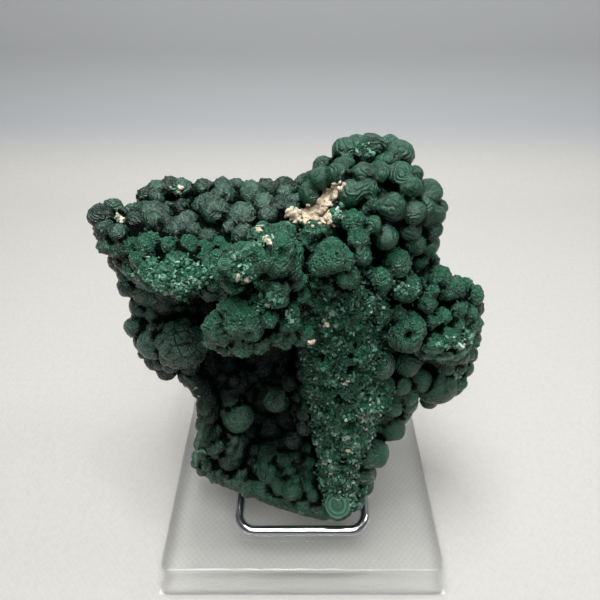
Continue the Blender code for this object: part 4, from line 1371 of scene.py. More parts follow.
@dataclass
class Crust:
    """The malachite's skin: balls fused, made uneven, thinned, and marked for its finish."""

    form: Form
    easel: Easel
    voxel: float = 0.4
    triangles: int = 196000
    box_margin: float = 0.02
    knob_seed: int = 23
    knob_counts: dict[Habit, int] = field(default_factory=lambda: {
        Habit.ROUGH: 8, Habit.VELVET: 3, Habit.SMOOTH: 3,
    })
    knob_sizes: tuple[float, float] = (0.28, 0.62)
    knob_rise: float = 0.10
    rough_knob_rise: float = 0.26
    ridge_knob_counts: dict[str, int] = field(default_factory=lambda: {
        "left rim": 4, "bottom rim": 2, "wing ledge": 5,
    })
    ridge_knob_sizes: tuple[float, float] = (0.40, 0.90)
    ridge_knob_rise: float = 0.50
    calm_by_wire: tuple[float, float] = (1.8, 5.0)
    roughness: float = 0.12
    fold_height: float = 0.55
    fold_shares: tuple[float, float, float] = (0.22, 0.5, 0.5)
    folded_top: tuple[float, float] = (66, 72)
    whorls: float = 52.0
    sharpening: float = 0.8
    sharpening_rounds: int = 14
    most_sharpening: float = 0.45
    pock_seed: int = 31
    pocks: int = 260
    pock_sizes: tuple[float, float] = (0.35, 0.85)
    dents: list[Ball] = field(default_factory=lambda: [
        (10.5, 7, 88, 1.3, 0.8), (11.8, 5, 88, 1.0, 0.7), (19.0, -12, 62.5, 1.3, 1.6),
        (-1, -6, 79, 1.2, 1.2), (1, -7, 79.5, 1.2, 1.2), (3, -6, 79, 1.0, 1.0),
        (4.5, -15, 52, 1.6, 1.3), (9, -14, 56, 1.7, 1.3), (7, -15, 48.5, 1.6, 1.2),
        (3.2, -15, 61, 1.5, 1.1), (9.5, -16, 41.6, 1.8, 1.5), (6.6, -16, 37, 1.4, 1.1),
        (12.5, -15.5, 33, 1.4, 1.1), (8.5, -17, 28.6, 1.5, 1.2), (6, -15, 66, 1.5, 1.2),
        (11.6, -15, 51, 1.3, 1.0), (34.5, -5, 43.5, 1.0, 0.8), (32.5, -6, 47.5, 0.9, 0.7),
        (35, -4, 45, 0.8, 0.6),
        (-15, 10, 78.5, 0.9, 0.5), (-16, 5, 77.5, 0.8, 0.4), (-9.5, -17, 78, 1.2, 1.4),
        (-8, -17, 77.5, 1.1, 1.4), (-28, 5, 77.5, 0.7, 0.5), (-8.5, -18, 68.5, 0.8, 0.7),
    ])
    rims: list[list[Place]] = field(default_factory=lambda: [
        [
            (-25, -6, 44.5), (-22, -8, 43.5), (-20.5, -10, 41.5), (-20.5, -11, 39.5),
            (-21.5, -11.5, 35), (-23, -12, 30.5), (-24.5, -12, 24.5), (-25, -12.5, 20),
        ],
        [
            (-15.5, -19, 70), (-16, -19, 68.5), (-15, -19.5, 66.7), (-12.5, -19.5, 64.9),
            (-9.5, -19, 64.9), (-7, -18, 64.9),
        ],
        [(-12, -17, 82), (-9.5, -17, 83.6), (-7.5, -16, 84.6), (-5.5, -16, 85.4)],
        [(-2.5, -3, 80.5), (-0.5, -4, 79.5), (1.5, -5, 79.5), (3.5, -5, 80), (4.5, -4, 80.5)],
        [(-29, -5, 71.8), (-27, -8, 71.9), (-24.5, -9, 71.4), (-22.5, -10, 70.5)],
        [(23.5, -9, 55.5), (26.5, -9, 55), (29.5, -8, 54.5), (33, -6, 54.5), (35, -3, 55)],
        [(24, -9, 53.5), (27, -9, 53), (30.5, -8, 53), (34, -5, 51.5), (35.7, -2, 52)],
        [(11, -14, 48), (13.5, -14, 47), (16, -13, 46.5)],
    ])
    rim_lift: float = 0.16
    rim_step: float = 0.3
    rim_band: float = 0.8
    rim_reach: tuple[float, float] = (0.15, 0.65)
    extra: list[Ball] = field(default_factory=lambda: [
        (-2.1, -16.9, 18.2, 2.8), (2.2, -17.6, 17.0, 2.1), (-5.6, -15, 17.4, 2.2),
        (-9.6, -13, 16.6, 1.9),
        (-13.1, -12, 15.7, 1.7), (-17.1, -11, 15.8, 1.9), (-15.5, -12.6, 13.6, 1.6),
        (-19.4, -11, 17.4, 2.0), (12.3, -16.5, 16.6, 2.6), (14.0, -14.4, 28.6, 3.3),
        (13.2, -15.6, 23.4, 3.0), (-16.8, 8, 75.4, 4.6), (-10.9, 4, 75.6, 4.3),
        (-27.2, 5, 75.8, 3.6), (-22, 1.5, 75.2, 3.2), (-13.6, 11, 75.6, 3.8),
        (-30.5, 8, 75.6, 2.7),
    ])
    rib_lumps: list[Ball] = field(default_factory=lambda: [
        (12, -15.2, 47, 1.8), (14.3, -14.6, 46.2, 1.7), (16, -13.6, 46.4, 1.5),
        (9.6, -16, 45.6, 1.4), (7, -16.6, 33, 1.9), (11.4, -16.4, 37.6, 1.7),
        (3.8, -14.4, 58, 1.5), (10.2, -14.2, 60, 1.6), (5.2, -15.4, 44, 1.5), (9.4, -17, 30, 1.5),
    ])
    # Balls that are left out of the hollow's painted shade; the palest one is also made paler.
    pale_balls: list[Ball] = field(default_factory=lambda: [
        (-6.7, -6, 36.7, 4.0), (-15, -8, 32, 4.4), (-18, -9.5, 24.5, 3.4), (-24.2, -5.6, 53.9, 6.0),
    ])
    palest_ball: int = 1
    paleness: float = 0.42
    tone_seed: int = 3
    cracked_dome: Ball = (-24.2, -5.6, 53.9, 2.9, 2.35)
    dome_segments: int = 13
    crack_reach: tuple[float, float] = (5.2, 6.4)
    habit_blur: int = 10
    # The box of the hollow where shade is painted: axis, where it starts, where it is full, where
    # it fades, where it ends.
    hollow: list[tuple[int, float, float, float, float]] = field(default_factory=lambda: [
        (1, -14.5, -9.0, 8, 12), (0, -25, -21, -3, 2), (2, 17, 24, 64, 68),
    ])

    def build(self) -> bpy.types.Object:
        """Makes the crust, finished and riding on the frame.

        Returns:
            The crust.
        """
        lumps, habits = self.form.crust(self.easel)
        soup = bmesh.new()
        ball_soup([mass.numbers() for mass in self.form.masses.values()], 5, soup)
        ball_soup(self.form.ridge_balls(), 4, soup)
        ball_soup(round_balls(lumps), 4, soup)
        ball_soup(self._knobs(lumps, habits), 3, soup)
        ball_soup(self._segments(), 4, soup)
        ball_soup(self._on_ridges(), 4, soup)
        ball_soup(round_balls(self.extra + self.rib_lumps), 4, soup)
        crust = new_piece("malachite_crust", mesh_from(soup))
        apply_modifier(crust, "REMESH", {"mode": "VOXEL", "voxel_size": self.voxel * MM})
        keep_largest_shell(crust.data)
        apply_modifier(crust, "SMOOTH", {"factor": 0.5, "iterations": 1})
        self._shape(crust, lumps, habits)
        share = self.triangles / len(crust.data.polygons)
        apply_modifier(crust, "DECIMATE", {"ratio": min(1.0, share)})
        crust.data.shade_smooth()
        self._mark(crust, lumps, habits)
        finish_piece(crust, MalachiteFinish().material(), "malachite")
        return crust

    def _knobs(self, lumps: list[Ball], habits: list[Habit]) -> list[Ball]:
        """Grows small knobs that make lumps uneven, more of them on rough ones.

        Args:
            lumps: all the round lumps, each a middle and a radius, in millimetres.
            habits: how the crust grew on each of them.

        Returns:
            The knobs, each a middle and three half sizes.
        """
        dice = random.Random(self.knob_seed)
        knobs = []
        for lump, habit in zip(lumps, habits):
            rise = self.rough_knob_rise if habit is Habit.ROUGH else self.knob_rise
            knobs += self._grow(lump, self.knob_counts[habit], self.knob_sizes, rise, dice)
        return knobs

    def _on_ridges(self) -> list[Ball]:
        """Grows lumps that make the rims and ledges uneven.

        Returns:
            The lumps, each a middle and three half sizes.
        """
        dice = random.Random(self.knob_seed + 1)
        lumps = []
        for name, count in self.ridge_knob_counts.items():
            for ball in self.form.ridges[name].balls():
                sizes, rise = self.ridge_knob_sizes, self.ridge_knob_rise
                lumps += self._grow(ball[:4], count, sizes, rise, dice)
        return lumps

    def _grow(
        self, host: Ball, count: int, sizes: tuple[float, float], rise: float,
        dice: random.Random,
    ) -> list[Ball]:
        """Grows small balls on a ball, except where they would touch the wire or the block.

        Args:
            host: the ball's middle and radius, in millimetres.
            count: how many to try.
            sizes: their least and greatest radius, as shares of the ball's.
            rise: how far they stand out of it, as a share of their radius.
            dice: the random draws.

        Returns:
            The small balls, each a middle and three half sizes.
        """
        *middle, radius = host
        path = self.easel.path(COARSE_BEND)
        room = self.easel.wire / 2 + GAP
        grown = []
        for _ in range(count):
            small = radius * dice.uniform(*sizes)
            centre = Vector(middle) + random_way(dice) * (radius - small * (1 - rise))
            clear = distance_to_path(centre, path) > small + room
            if clear and centre.z - small > self.form.foot_z - GAP:
                grown.append((*centre, small))
        return round_balls(grown)

    def _segments(self) -> list[Ball]:
        """Places the swollen segments of the cracked dome, over its front half.

        Returns:
            The segments, each a middle and three half sizes.
        """
        x, y, z, out, radius = self.cracked_dome
        middle = Vector((x, y, z))
        face = (VIEWPOINT - middle).normalized()
        turn = face.to_track_quat("Z", "Y")
        golden = math.pi * (3 - math.sqrt(5))
        segments = []
        for number in range(self.dome_segments):
            up = 1 - 1.05 * (number + 0.5) / self.dome_segments
            across = math.sqrt(1 - up * up)
            angle = golden * number
            way = turn @ Vector((across * math.cos(angle), across * math.sin(angle), up))
            segments.append((*(middle + way * out), radius, radius, radius))
        return segments

    def _wire_reach(self, places: np.ndarray) -> np.ndarray:
        """Measures how far places are from the wire's middle line.

        Args:
            places: the places, in millimetres.

        Returns:
            The distances.
        """
        reach = np.full(len(places), np.inf)
        path = self.easel.path(COARSEST_BEND)
        for start, end in zip(path, path[1:] + path[:1]):
            first, way = np.array(start), np.array(end - start)
            share = np.clip((places - first) @ way / (way @ way), 0, 1)
            apart = places - first - share[:, None] * way
            reach = np.minimum(reach, np.sqrt(np.einsum("ij,ij->i", apart, apart)))
        return reach

    def _shape(self, crust: bpy.types.Object, lumps: list[Ball], habits: list[Habit]) -> None:
        """Pulls the fused skin out of true, sharpens its lumps, and breaks it up.

        Args:
            crust: the fused skin.
            lumps: all the round lumps, each a middle and a radius, in millimetres.
            habits: how the crust grew on each of them.
        """
        skin = Skin(crust.data)
        free = smooth_step(self._wire_reach(skin.places), *self.calm_by_wire)
        smooth = np.stack(
            [skin.spread(skin.places[:, axis], self.sharpening_rounds) for axis in range(3)], axis=1
        )
        sharper = (skin.places - smooth) * self.sharpening
        length = np.linalg.norm(sharper, axis=1)
        sharper *= np.minimum(1, self.most_sharpening / np.maximum(length, 1e-6))[:, None]
        waves = np.array([
            noise.noise_vector(Vector(place) / self.form.warp_length)
            for place in skin.places.tolist()
        ])
        skin.move(skin.places + (sharper + waves * self.form.warp) * free[:, None])
        skin = Skin(crust.data)
        rough, velvet = self._habits(skin, lumps, habits)
        fine = skin.waves(1.3) + 0.7 * skin.waves(2.6)
        fold = self._folds(skin.places)
        top = velvet * smooth_step(skin.places[:, 2], *self.folded_top)
        all_over, on_rough, on_top = self.fold_shares
        height = self.fold_height * (all_over + on_rough * rough + on_top * top)
        move = (0.04 + self.roughness * rough) * fine + height * (fold - 0.5)
        move = move - self._pocks(skin, rough)
        face = Face(crust)
        for *place, radius, depth in self.dents:
            found = face.land(place)
            if found:
                apart = distances(skin.places, found[0])
                move = move - depth * (1 - smooth_step(apart, 0.3 * radius, 1.3 * radius))
        move = move + self.rim_lift * self._near_rims(skin, face)
        low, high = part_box("malachite")
        low = np.array(low) / MM + self.box_margin
        high = np.array(high) / MM - self.box_margin
        places = skin.places + skin.normals * (move * (0.1 + 0.9 * free))[:, None]
        skin.move(np.clip(places, low, high))

    def _inside_hollow(self, places: np.ndarray) -> np.ndarray:
        """Marks the hollow where shade is painted, but not the pale balls in it.

        Args:
            places: the places, in millimetres.

        Returns:
            How deep in the hollow each is, 0 to 1.
        """
        inside = np.ones(len(places))
        for axis, starts, full, fades, ends in self.hollow:
            values = places[:, axis]
            inside = inside * smooth_step(values, starts, full)
            inside = inside * (1 - smooth_step(values, fades, ends))
        for *place, radius in self.pale_balls:
            inside = inside * smooth_step(distances(places, place), radius, radius * 1.35)
        return inside

    def _folds(self, places: np.ndarray) -> np.ndarray:
        """Makes fine folds that run round the lumps in whorls.

        Args:
            places: the places, in millimetres.

        Returns:
            The folds' height at each, 0 to 1.
        """
        folds = []
        for place in (Vector(place) for place in places.tolist()):
            bent = place + noise.noise_vector(place * 0.30) * 1.6
            whorls = 0.5 + 0.5 * math.sin(noise.noise(bent * 0.17) * self.whorls)
            thread = 1 - min(1.0, abs(noise.noise(bent * 0.62)) * 4.5)
            folds.append(0.45 * whorls + 0.55 * thread * thread)
        return np.array(folds)

    def _pocks(self, skin: Skin, rough: np.ndarray) -> np.ndarray:
        """Scatters small pits over the crust, most of them where it is rough.

        Args:
            skin: the crust's corners.
            rough: how rough it is at each.

        Returns:
            How deep the pits are at each, in millimetres.
        """
        dice = np.random.default_rng(self.pock_seed)
        depth = np.zeros(len(skin.places))
        share = 0.1 + rough
        for corner in dice.choice(len(skin.places), self.pocks, p=share / share.sum()):
            radius = dice.uniform(*self.pock_sizes)
            near, apart = skin.level_with(skin.places[corner], radius)
            pit = 0.6 * radius * (1 - smooth_step(apart, 0.4 * radius, radius))
            depth[near] = np.maximum(depth[near], pit)
        return depth

    def _near_rims(self, skin: Skin, face: Face) -> np.ndarray:
        """Marks the broken rims.

        Args:
            skin: the crust's corners.
            face: the surface that the rims are traced on.

        Returns:
            How close each corner is to a rim, 1 on it.
        """
        close = np.zeros(len(skin.places))
        for rim in self.rims:
            for spot in face.trace(rim, self.rim_step):
                near, apart = skin.level_with(spot, self.rim_band)
                close[near] = np.maximum(close[near], 1 - smooth_step(apart, *self.rim_reach))
        return close

    @staticmethod
    def _nearest(
        places: np.ndarray, lumps: list[Ball], step: int = 20000
    ) -> tuple[np.ndarray, np.ndarray]:
        """Finds the lump that each place is on.

        Args:
            places: the places, in millimetres.
            lumps: each a middle and a radius, in millimetres.
            step: how many places are worked out at once.

        Returns:
            The number of each place's lump, and how far out of the lump the place is.
        """
        balls = np.array(lumps, dtype=np.float32)
        nearest = np.empty(len(places), dtype=np.int32)
        outside = np.empty(len(places), dtype=np.float32)
        for start in range(0, len(places), step):
            part = places[start:start + step]
            square = (
                (part ** 2).sum(1)[:, None] - 2 * part @ balls[:, :3].T
                + (balls[:, :3] ** 2).sum(1)[None, :]
            )
            gap = np.sqrt(np.maximum(square, 0)) - balls[:, 3][None, :]
            nearest[start:start + step] = gap.argmin(1)
            outside[start:start + step] = gap.min(1)
        return nearest, outside

    def _habits(
        self, skin: Skin, lumps: list[Ball], habits: list[Habit]
    ) -> tuple[np.ndarray, np.ndarray]:
        """Works out how the crust grew at each corner.

        Args:
            skin: the crust's corners.
            lumps: all the round lumps, each a middle and a radius, in millimetres.
            habits: how the crust grew on each of them.

        Returns:
            How rough and how velvety it is, 0 to 1.
        """
        nearest, _ = self._nearest(skin.places, lumps)
        rough = np.array([1.0 if habit is Habit.ROUGH else 0.0 for habit in habits])
        velvet = np.array([1.0 if habit is Habit.VELVET else 0.0 for habit in habits])
        rib = self.on_rib(skin.places)
        rough = np.maximum(skin.spread(rough[nearest], self.habit_blur), rib)
        return rough, skin.spread(velvet[nearest], self.habit_blur) * (1 - rib)

    def on_rib(self, places: np.ndarray) -> np.ndarray:
        """Marks the rib of broken rock.

        Args:
            places: the places, in millimetres.

        Returns:
            How much each belongs to the rib, 0 to 1.
        """
        rib = [ball[:4] for ball in self.form.ridges["rib"].balls()] + self.rib_lumps
        _, outside = self._nearest(places, rib)
        front = smooth_step(-places[:, 1], 4.0, 9.0) * smooth_step(-places[:, 2], -77.0, -72.0)
        _, bare = self._nearest(places, self.extra)
        return (1 - smooth_step(outside, 0.8, 2.4)) * front * smooth_step(bare, 0.1, 0.8)

    def _mark(self, crust: bpy.types.Object, lumps: list[Ball], habits: list[Habit]) -> None:
        """Stores what the shader reads: tone, hollows, tips, habits and pale rims.

        Args:
            crust: the finished shape.
            lumps: all the round lumps, each a middle and a radius, in millimetres.
            habits: how the crust grew on each of them.
        """
        skin = Skin(crust.data)
        nearest, _ = self._nearest(skin.places, lumps)
        tones = np.random.default_rng(self.tone_seed).random(len(lumps))
        skin.store("tone", skin.spread(tones[nearest], 3))
        rough, velvet = self._habits(skin, lumps, habits)
        skin.store("rough", rough)
        skin.store("velvet", velvet)
        fine = skin.spread(skin.hollows(), 2)
        wide = skin.spread(fine, 16)
        # The shader paints shade from hollow and painted highlights from tip.
        skin.store("hollow", np.clip(0.5 + fine * 0.45 + wide * 1.2, 0, 1))
        skin.store("tip", np.clip(0.5 - fine * 0.6 - wide * 1.0, 0, 1))
        *place, radius = self.pale_balls[self.palest_ball]
        apart = distances(skin.places, place)
        shown = self.paleness * (1 - smooth_step(apart, radius, radius * 1.2))
        skin.store("pale", np.maximum(self._near_rims(skin, Face(crust)), shown))
        skin.store("fold", self._folds(skin.places))
        apart = distances(skin.places, self.cracked_dome[:3])
        skin.store("cracked", 1 - smooth_step(apart, *self.crack_reach))
        # The shader paints shade over the places marked deep.
        skin.store("deep", self._inside_hollow(skin.places))


@dataclass
class Zone:
    """A place where crystals stand: its middle, its reach, how many, and how pale."""

    place: Place
    reach: float
    count: int
    shade: float = 0.5


@dataclass
class Druse:
    """The small crystals that stand on the rib and on the crust's broken places."""

    seed: int = 41
    box_margin: float = 0.7
    rib_count: int = 5200
    white_share: float = 0.015
    sizes: tuple[float, float] = (0.13, 0.44)
    zones: list[Zone] = field(default_factory=lambda: [
        Zone((-26, -8, 72.5), 1.9, 60, 0.62), Zone((-23.5, -9, 72), 2.0, 70, 0.62),
        Zone((-20.5, -10, 71.5), 1.8, 60, 0.66), Zone((-18, -10, 73), 1.7, 50, 0.66),
        Zone((-16, -9, 74), 1.5, 40, 0.6), Zone((-26, -6, 74.5), 1.6, 35, 0.6),
        Zone((-22, -8, 75), 1.8, 40, 0.6), Zone((-18.5, -9, 76), 1.6, 40, 0.62),
        Zone((-10, -17, 82.5), 1.2, 26, 0.6), Zone((-8.5, -17, 81), 1.3, 26, 0.6),
        Zone((-8, -16, 77.5), 1.5, 34, 0.66), Zone((-6.5, -16, 73.5), 1.3, 26, 0.58),
        Zone((-4.5, -17, 75), 1.2, 26, 0.6), Zone((-2, -15, 69.5), 1.4, 30, 0.55),
        Zone((-6.5, -14, 85.5), 0.8, 14, 0.85), Zone((-5.2, -15, 84.7), 0.8, 14, 0.85),
        Zone((-9.5, -17, 79.5), 0.7, 12, 0.85), Zone((-8.5, -16, 78), 0.6, 10, 0.8),
        Zone((-33.5, 4, 77), 0.9, 10, 0.85), Zone((-24.5, 13, 77.5), 1.0, 12, 0.85),
        Zone((-34.5, 0, 65), 0.6, 8, 0.75),
        Zone((10, 8, 88.5), 1.0, 26, 0.78), Zone((11.5, 7, 88), 1.0, 20, 0.75),
        Zone((5.5, -5, 83), 0.9, 18, 0.85), Zone((20, -6, 68), 1.6, 30, 0.6),
        Zone((17, -6, 69), 1.4, 26, 0.6), Zone((13, -15, 44), 1.4, 46, 0.72),
        Zone((14, -14, 41), 1.6, 50, 0.74), Zone((9.5, -17, 37), 1.4, 46, 0.74),
        Zone((11, -16, 34), 1.2, 34, 0.7), Zone((29, -8.5, 57), 1.4, 26, 0.66),
        Zone((26, -9, 57.5), 1.2, 20, 0.66), Zone((31.5, -7, 57.5), 1.2, 20, 0.66),
    ])

    def build(self, crust: bpy.types.Object, stone: Crust) -> bpy.types.Object:
        """Makes the crystals as one piece, finished and riding on the frame.

        Args:
            crust: the crust that they stand on.
            stone: the crust's form, which knows where the rib is.

        Returns:
            The crystals.
        """
        dice = random.Random(self.seed)
        face = Face(crust)
        spots = self._on_rib(crust, stone, dice) + self._in_zones(face, dice)
        spots = inside_box(spots, self.box_margin)
        druse = new_piece("druse", scatter(self._shapes(), spots))
        druse.data.shade_flat()
        finish_piece(druse, GrainFinish("druse_crystals").material(), "malachite")
        return druse

    @staticmethod
    def _shapes() -> list[bpy.types.Mesh]:
        """Makes the shapes that crystals have.

        Returns:
            A prism, a block and a nugget, of about unit size.
        """
        prism, block, nugget = [bmesh.new() for _ in range(3)]
        bmesh.ops.create_cone(
            prism, cap_ends=True, segments=5, radius1=0.8, radius2=0.45, depth=2.4
        )
        bmesh.ops.create_cube(block, size=1.5)
        bmesh.ops.create_cone(
            nugget, cap_ends=True, segments=6, radius1=1.1, radius2=0.9, depth=0.9
        )
        return [mesh_from(form) for form in (prism, block, nugget)]

    def _spot(
        self, place: Vector, normal: Vector, shade: float, dice: random.Random
    ) -> Spot:
        """Draws one crystal.

        Args:
            place: where it stands, in millimetres.
            normal: which way the surface faces there.
            shade: how pale it is, before it is held between 0 and 1.
            dice: the random draws.

        Returns:
            Its place, turn, half sizes and shade.
        """
        least, most = self.sizes
        size = least + (most - least) * dice.random() ** 1.6
        sizes = Vector([size * dice.uniform(0.6, 1.3) for _ in range(3)])
        lift = dice.uniform(-0.1, 0.6) * size
        return place + normal * lift, random_turn(dice), sizes, min(1.0, max(0.0, shade))

    def _on_rib(
        self, crust: bpy.types.Object, stone: Crust, dice: random.Random
    ) -> list[Spot]:
        """Draws the crystals that cover the rib.

        Args:
            crust: the crust that they stand on.
            stone: the crust's form, which knows where the rib is.
            dice: the random draws.

        Returns:
            Their spots.
        """
        skin = Skin(crust.data)
        share = stone.on_rib(skin.places) ** 2
        share *= smooth_step(-skin.normals[:, 1] + skin.normals[:, 2] * 0.3, -0.1, 0.4)
        running = np.cumsum(share)
        spots = []
        for _ in range(self.rib_count):
            corner = int(np.searchsorted(running, dice.random() * running[-1]))
            place = Vector(skin.places[corner])
            place += Vector([dice.uniform(-0.25, 0.25) for _ in range(3)])
            clump = noise.noise(place * 0.45) + 0.5 * noise.noise(place * 1.2)
            shade = 0.28 + 0.60 * clump + dice.gauss(0, 0.17)
            shade += 0.24 * min(1.0, max(0.0, (52 - place.z) / 20))
            if dice.random() < self.white_share:
                shade = dice.uniform(0.8, 1.0)
            spots.append(self._spot(place, Vector(skin.normals[corner]), shade, dice))
        return spots

    def _in_zones(self, face: Face, dice: random.Random) -> list[Spot]:
        """Draws the crystals of the zones.

        Args:
            face: the surface that they land on.
            dice: the random draws.

        Returns:
            Their spots.
        """
        spots = []
        for zone in self.zones:
            for _ in range(zone.count):
                found = face.land_near(zone.place, 0.5, zone.reach, dice)
                if found:
                    shade = zone.shade + dice.gauss(0, 0.16 if zone.shade < 0.9 else 0.04)
                    spots.append(self._spot(*found, shade, dice))
        return spots


@dataclass
class HostRock:
    """Clay of the host rock, bare where the crust has broken off, and small tan crumbs."""

    seed: int = 17
    voxel: float = 0.20
    patch_grains: int = 90
    crumb_grains: int = 9
    waves: float = 0.18
    patch: list[Ball] = field(default_factory=lambda: [
        (-2, -1, 81, 0.8), (-1, -1, 80.5, 1.1), (0.5, -1, 80.5, 1.2), (2, -1, 81, 1.3),
        (3, -1, 81, 1.4), (4, -2, 80, 1.0), (4, 0, 82.5, 1.0), (5, 0, 84, 0.9), (5.5, 0, 85, 0.9),
    ])
    crumbs: list[Ball] = field(default_factory=lambda: [
        (-33.8, 4, 77, 0.8), (-33, 3.6, 77, 0.6), (-24.5, 13, 77.5, 0.7), (-24, 13, 78.5, 0.55),
        (-6.2, -14, 85.6, 0.45), (-5.2, -15, 84.8, 0.5), (-4.8, -15, 84.4, 0.4),
        (-9.5, -17, 79.7, 0.4), (-8.5, -16, 78.2, 0.4),
        (4, -15, 68.5, 0.55), (1.5, -15, 64, 0.5), (2, -15, 64.5, 0.4), (8, -15, 53.5, 0.55),
        (9.5, -17, 38.5, 0.5), (9.5, -17, 34, 0.45), (13, -15, 44, 0.55), (12, -15, 42, 0.4),
    ])

    def build(self, crust: bpy.types.Object) -> bpy.types.Object:
        """Makes the clay as one piece, finished and riding on the frame.

        Args:
            crust: the crust that it lies on.

        Returns:
            The clay.
        """
        dice = random.Random(self.seed)
        face = Face(crust)
        balls = []
        for spots, count in ((self.patch, self.patch_grains), (self.crumbs, self.crumb_grains)):
            for *place, radius in spots:
                for _ in range(count):
                    found = face.land_near(place, 0.45, radius, dice)
                    if found:
                        size = dice.uniform(0.20, 0.42)
                        centre = found[0] + found[1] * dice.uniform(-0.2, 0.25)
                        balls.append((*centre, size, size, size * dice.uniform(0.6, 1.0)))
        soup = bmesh.new()
        ball_soup(balls, 2, soup)
        clay = new_piece("host_clay", mesh_from(soup))
        apply_modifier(clay, "REMESH", {"mode": "VOXEL", "voxel_size": self.voxel * MM})
        skin = Skin(clay.data)
        skin.swell(self.waves * skin.waves(2.2))
        clay.data.shade_smooth()
        finish_piece(clay, ClayFinish().material(), "malachite")
        return clay


@dataclass
class BandedLumps:
    """Lumps that are broken across and show their rings, one at the foot, one on the knob."""

    discs: list[Ball] = field(default_factory=lambda: [
        (8.1, -19.7, 15.9, 2.75), (-11.3, -17, 81.9, 0.85),
    ])
    profile: list[tuple[float, float]] = field(default_factory=lambda: [
        (0.0, 0.34), (0.22, 0.36), (0.36, 0.30), (0.42, 0.22), (0.50, 0.30), (0.62, 0.38),
        (0.70, 0.34), (0.76, 0.20), (0.84, 0.26), (0.92, 0.36), (0.98, 0.32), (1.0, 0.18),
        (0.94, -0.25), (0.0, -0.40),
    ])
    steps: int = 72
    waves: float = 0.12

    def build(self, crust: bpy.types.Object) -> bpy.types.Object:
        """Makes the discs as one piece, finished and riding on the frame.

        Args:
            crust: the crust that they lie on.

        Returns:
            The discs.
        """
        face = Face(crust)
        disc = bmesh.new()
        middles = []
        for x, y, z, radius in self.discs:
            found = face.land((x, y, z))
            centre = found[0] if found else Vector((x, y, z))
            axis = (VIEWPOINT - centre).normalized()
            corners = [disc.verts.new((out, 0, up)) for out, up in self.profile]
            edges = [disc.edges.new(pair) for pair in zip(corners, corners[1:])]
            bmesh.ops.spin(
                disc, geom=corners + edges, cent=(0, 0, 0), axis=(0, 0, 1),
                angle=2 * math.pi, steps=self.steps, use_merge=True,
            )
            fresh = [corner for corner in disc.verts if not corner.tag]
            bmesh.ops.remove_doubles(disc, verts=fresh, dist=1e-5)
            fresh = [corner for corner in disc.verts if not corner.tag]
            turn = axis.to_track_quat("Z", "Y").to_matrix().to_4x4()
            size = Matrix.Scale(radius * MM, 4)
            place = Matrix.Translation((centre + axis * 0.16 * radius) * MM)
            bmesh.ops.transform(disc, matrix=place @ turn @ size, verts=fresh)
            for corner in fresh:
                corner.tag = True
            middles.append((centre, axis, radius))
        bmesh.ops.recalc_face_normals(disc, faces=disc.faces[:])
        piece = new_piece("banded_lumps", mesh_from(disc))
        skin = Skin(piece.data)
        outs = np.full(len(skin.places), np.inf)
        for centre, axis, radius in middles:
            away = skin.places - np.array(centre)
            across = away - np.outer(away @ np.array(axis), np.array(axis))
            outs = np.minimum(outs, np.linalg.norm(across, axis=1) / radius)
        skin.store("out", outs)
        skin.swell(self.waves * skin.waves(1.1))
        piece.data.shade_smooth()
        finish_piece(piece, BandFinish().material(), "malachite")
        return piece


@dataclass
class Flakes:
    """Thin curved scraps of broken crust in the crown's pit and beside the clay."""

    seed: int = 53
    box_margin: float = 1.0
    groups: list[tuple[Place, float, int]] = field(default_factory=lambda: [
        ((10, 8, 88.5), 1.0, 7), ((11.5, 7, 88), 0.8, 5), ((5.5, -5, 83), 0.9, 5),
        ((6.5, -3, 83.5), 0.6, 3), ((-9.5, -17, 83), 1.2, 5), ((-7, -16, 84.5), 1.0, 4),
        ((-24, -9, 72), 2.4, 8), ((-19, -10, 72), 2.2, 7), ((13.5, -14, 46.8), 1.8, 8),
        ((-22, -8, 43), 1.6, 4), ((-24.6, -12, 23), 1.8, 5), ((17, -6, 69.5), 1.6, 5),
        ((33, -5, 45), 1.4, 5),
    ])

    def build(self, crust: bpy.types.Object) -> bpy.types.Object:
        """Makes the flakes as one piece, finished and riding on the frame.

        Args:
            crust: the crust that they lie on.

        Returns:
            The flakes.
        """
        dice = random.Random(self.seed)
        face = Face(crust)
        spots = []
        for place, reach, count in self.groups:
            for _ in range(count):
                found = face.land_near(place, 0.5, reach, dice)
                if found:
                    size = dice.uniform(0.35, 0.8)
                    sizes = Vector((size, size * dice.uniform(0.5, 1.0), size))
                    spot = found[0] + found[1] * size * 0.2
                    spots.append((spot, random_turn(dice), sizes, dice.uniform(0.6, 0.9)))
        spots = inside_box(spots, self.box_margin)
        flakes = new_piece("shell_flakes", scatter([self._shell()], spots))
        flakes.data.shade_smooth()
        finish_piece(flakes, GrainFinish("shell_flakes").material(), "malachite")
        return flakes

    @staticmethod
    def _shell() -> bpy.types.Mesh:
        """Cuts one curved scrap with a wall from a ball.

        Returns:
            The scrap.
        """
        form = bmesh.new()
        bmesh.ops.create_uvsphere(form, u_segments=14, v_segments=12, radius=1.2)
        everything = form.verts[:] + form.edges[:] + form.faces[:]
        bmesh.ops.bisect_plane(
            form, geom=everything, plane_co=(0, 0, 0.75), plane_no=(0, 0, 1), clear_inner=True
        )
        bmesh.ops.translate(form, verts=form.verts[:], vec=(0, 0, -0.9))
        bmesh.ops.recalc_face_normals(form, faces=form.faces[:])
        bmesh.ops.solidify(form, geom=form.faces[:], thickness=0.16)
        return mesh_from(form)


@dataclass
class Stone:
    """The malachite specimen: its crust and everything that stands on it."""

    form: Form
    easel: Easel

    def build(self) -> list[bpy.types.Object]:
        """Makes the crust and everything that stands on it.

        Returns:
            The stone's pieces.
        """
        crust = Crust(self.form, self.easel)
        skin = crust.build()
        return [
            skin, Druse().build(skin, crust), HostRock().build(skin),
            BandedLumps().build(skin), Flakes().build(skin),
        ]


# ---------------------------------------------------------------- the studio


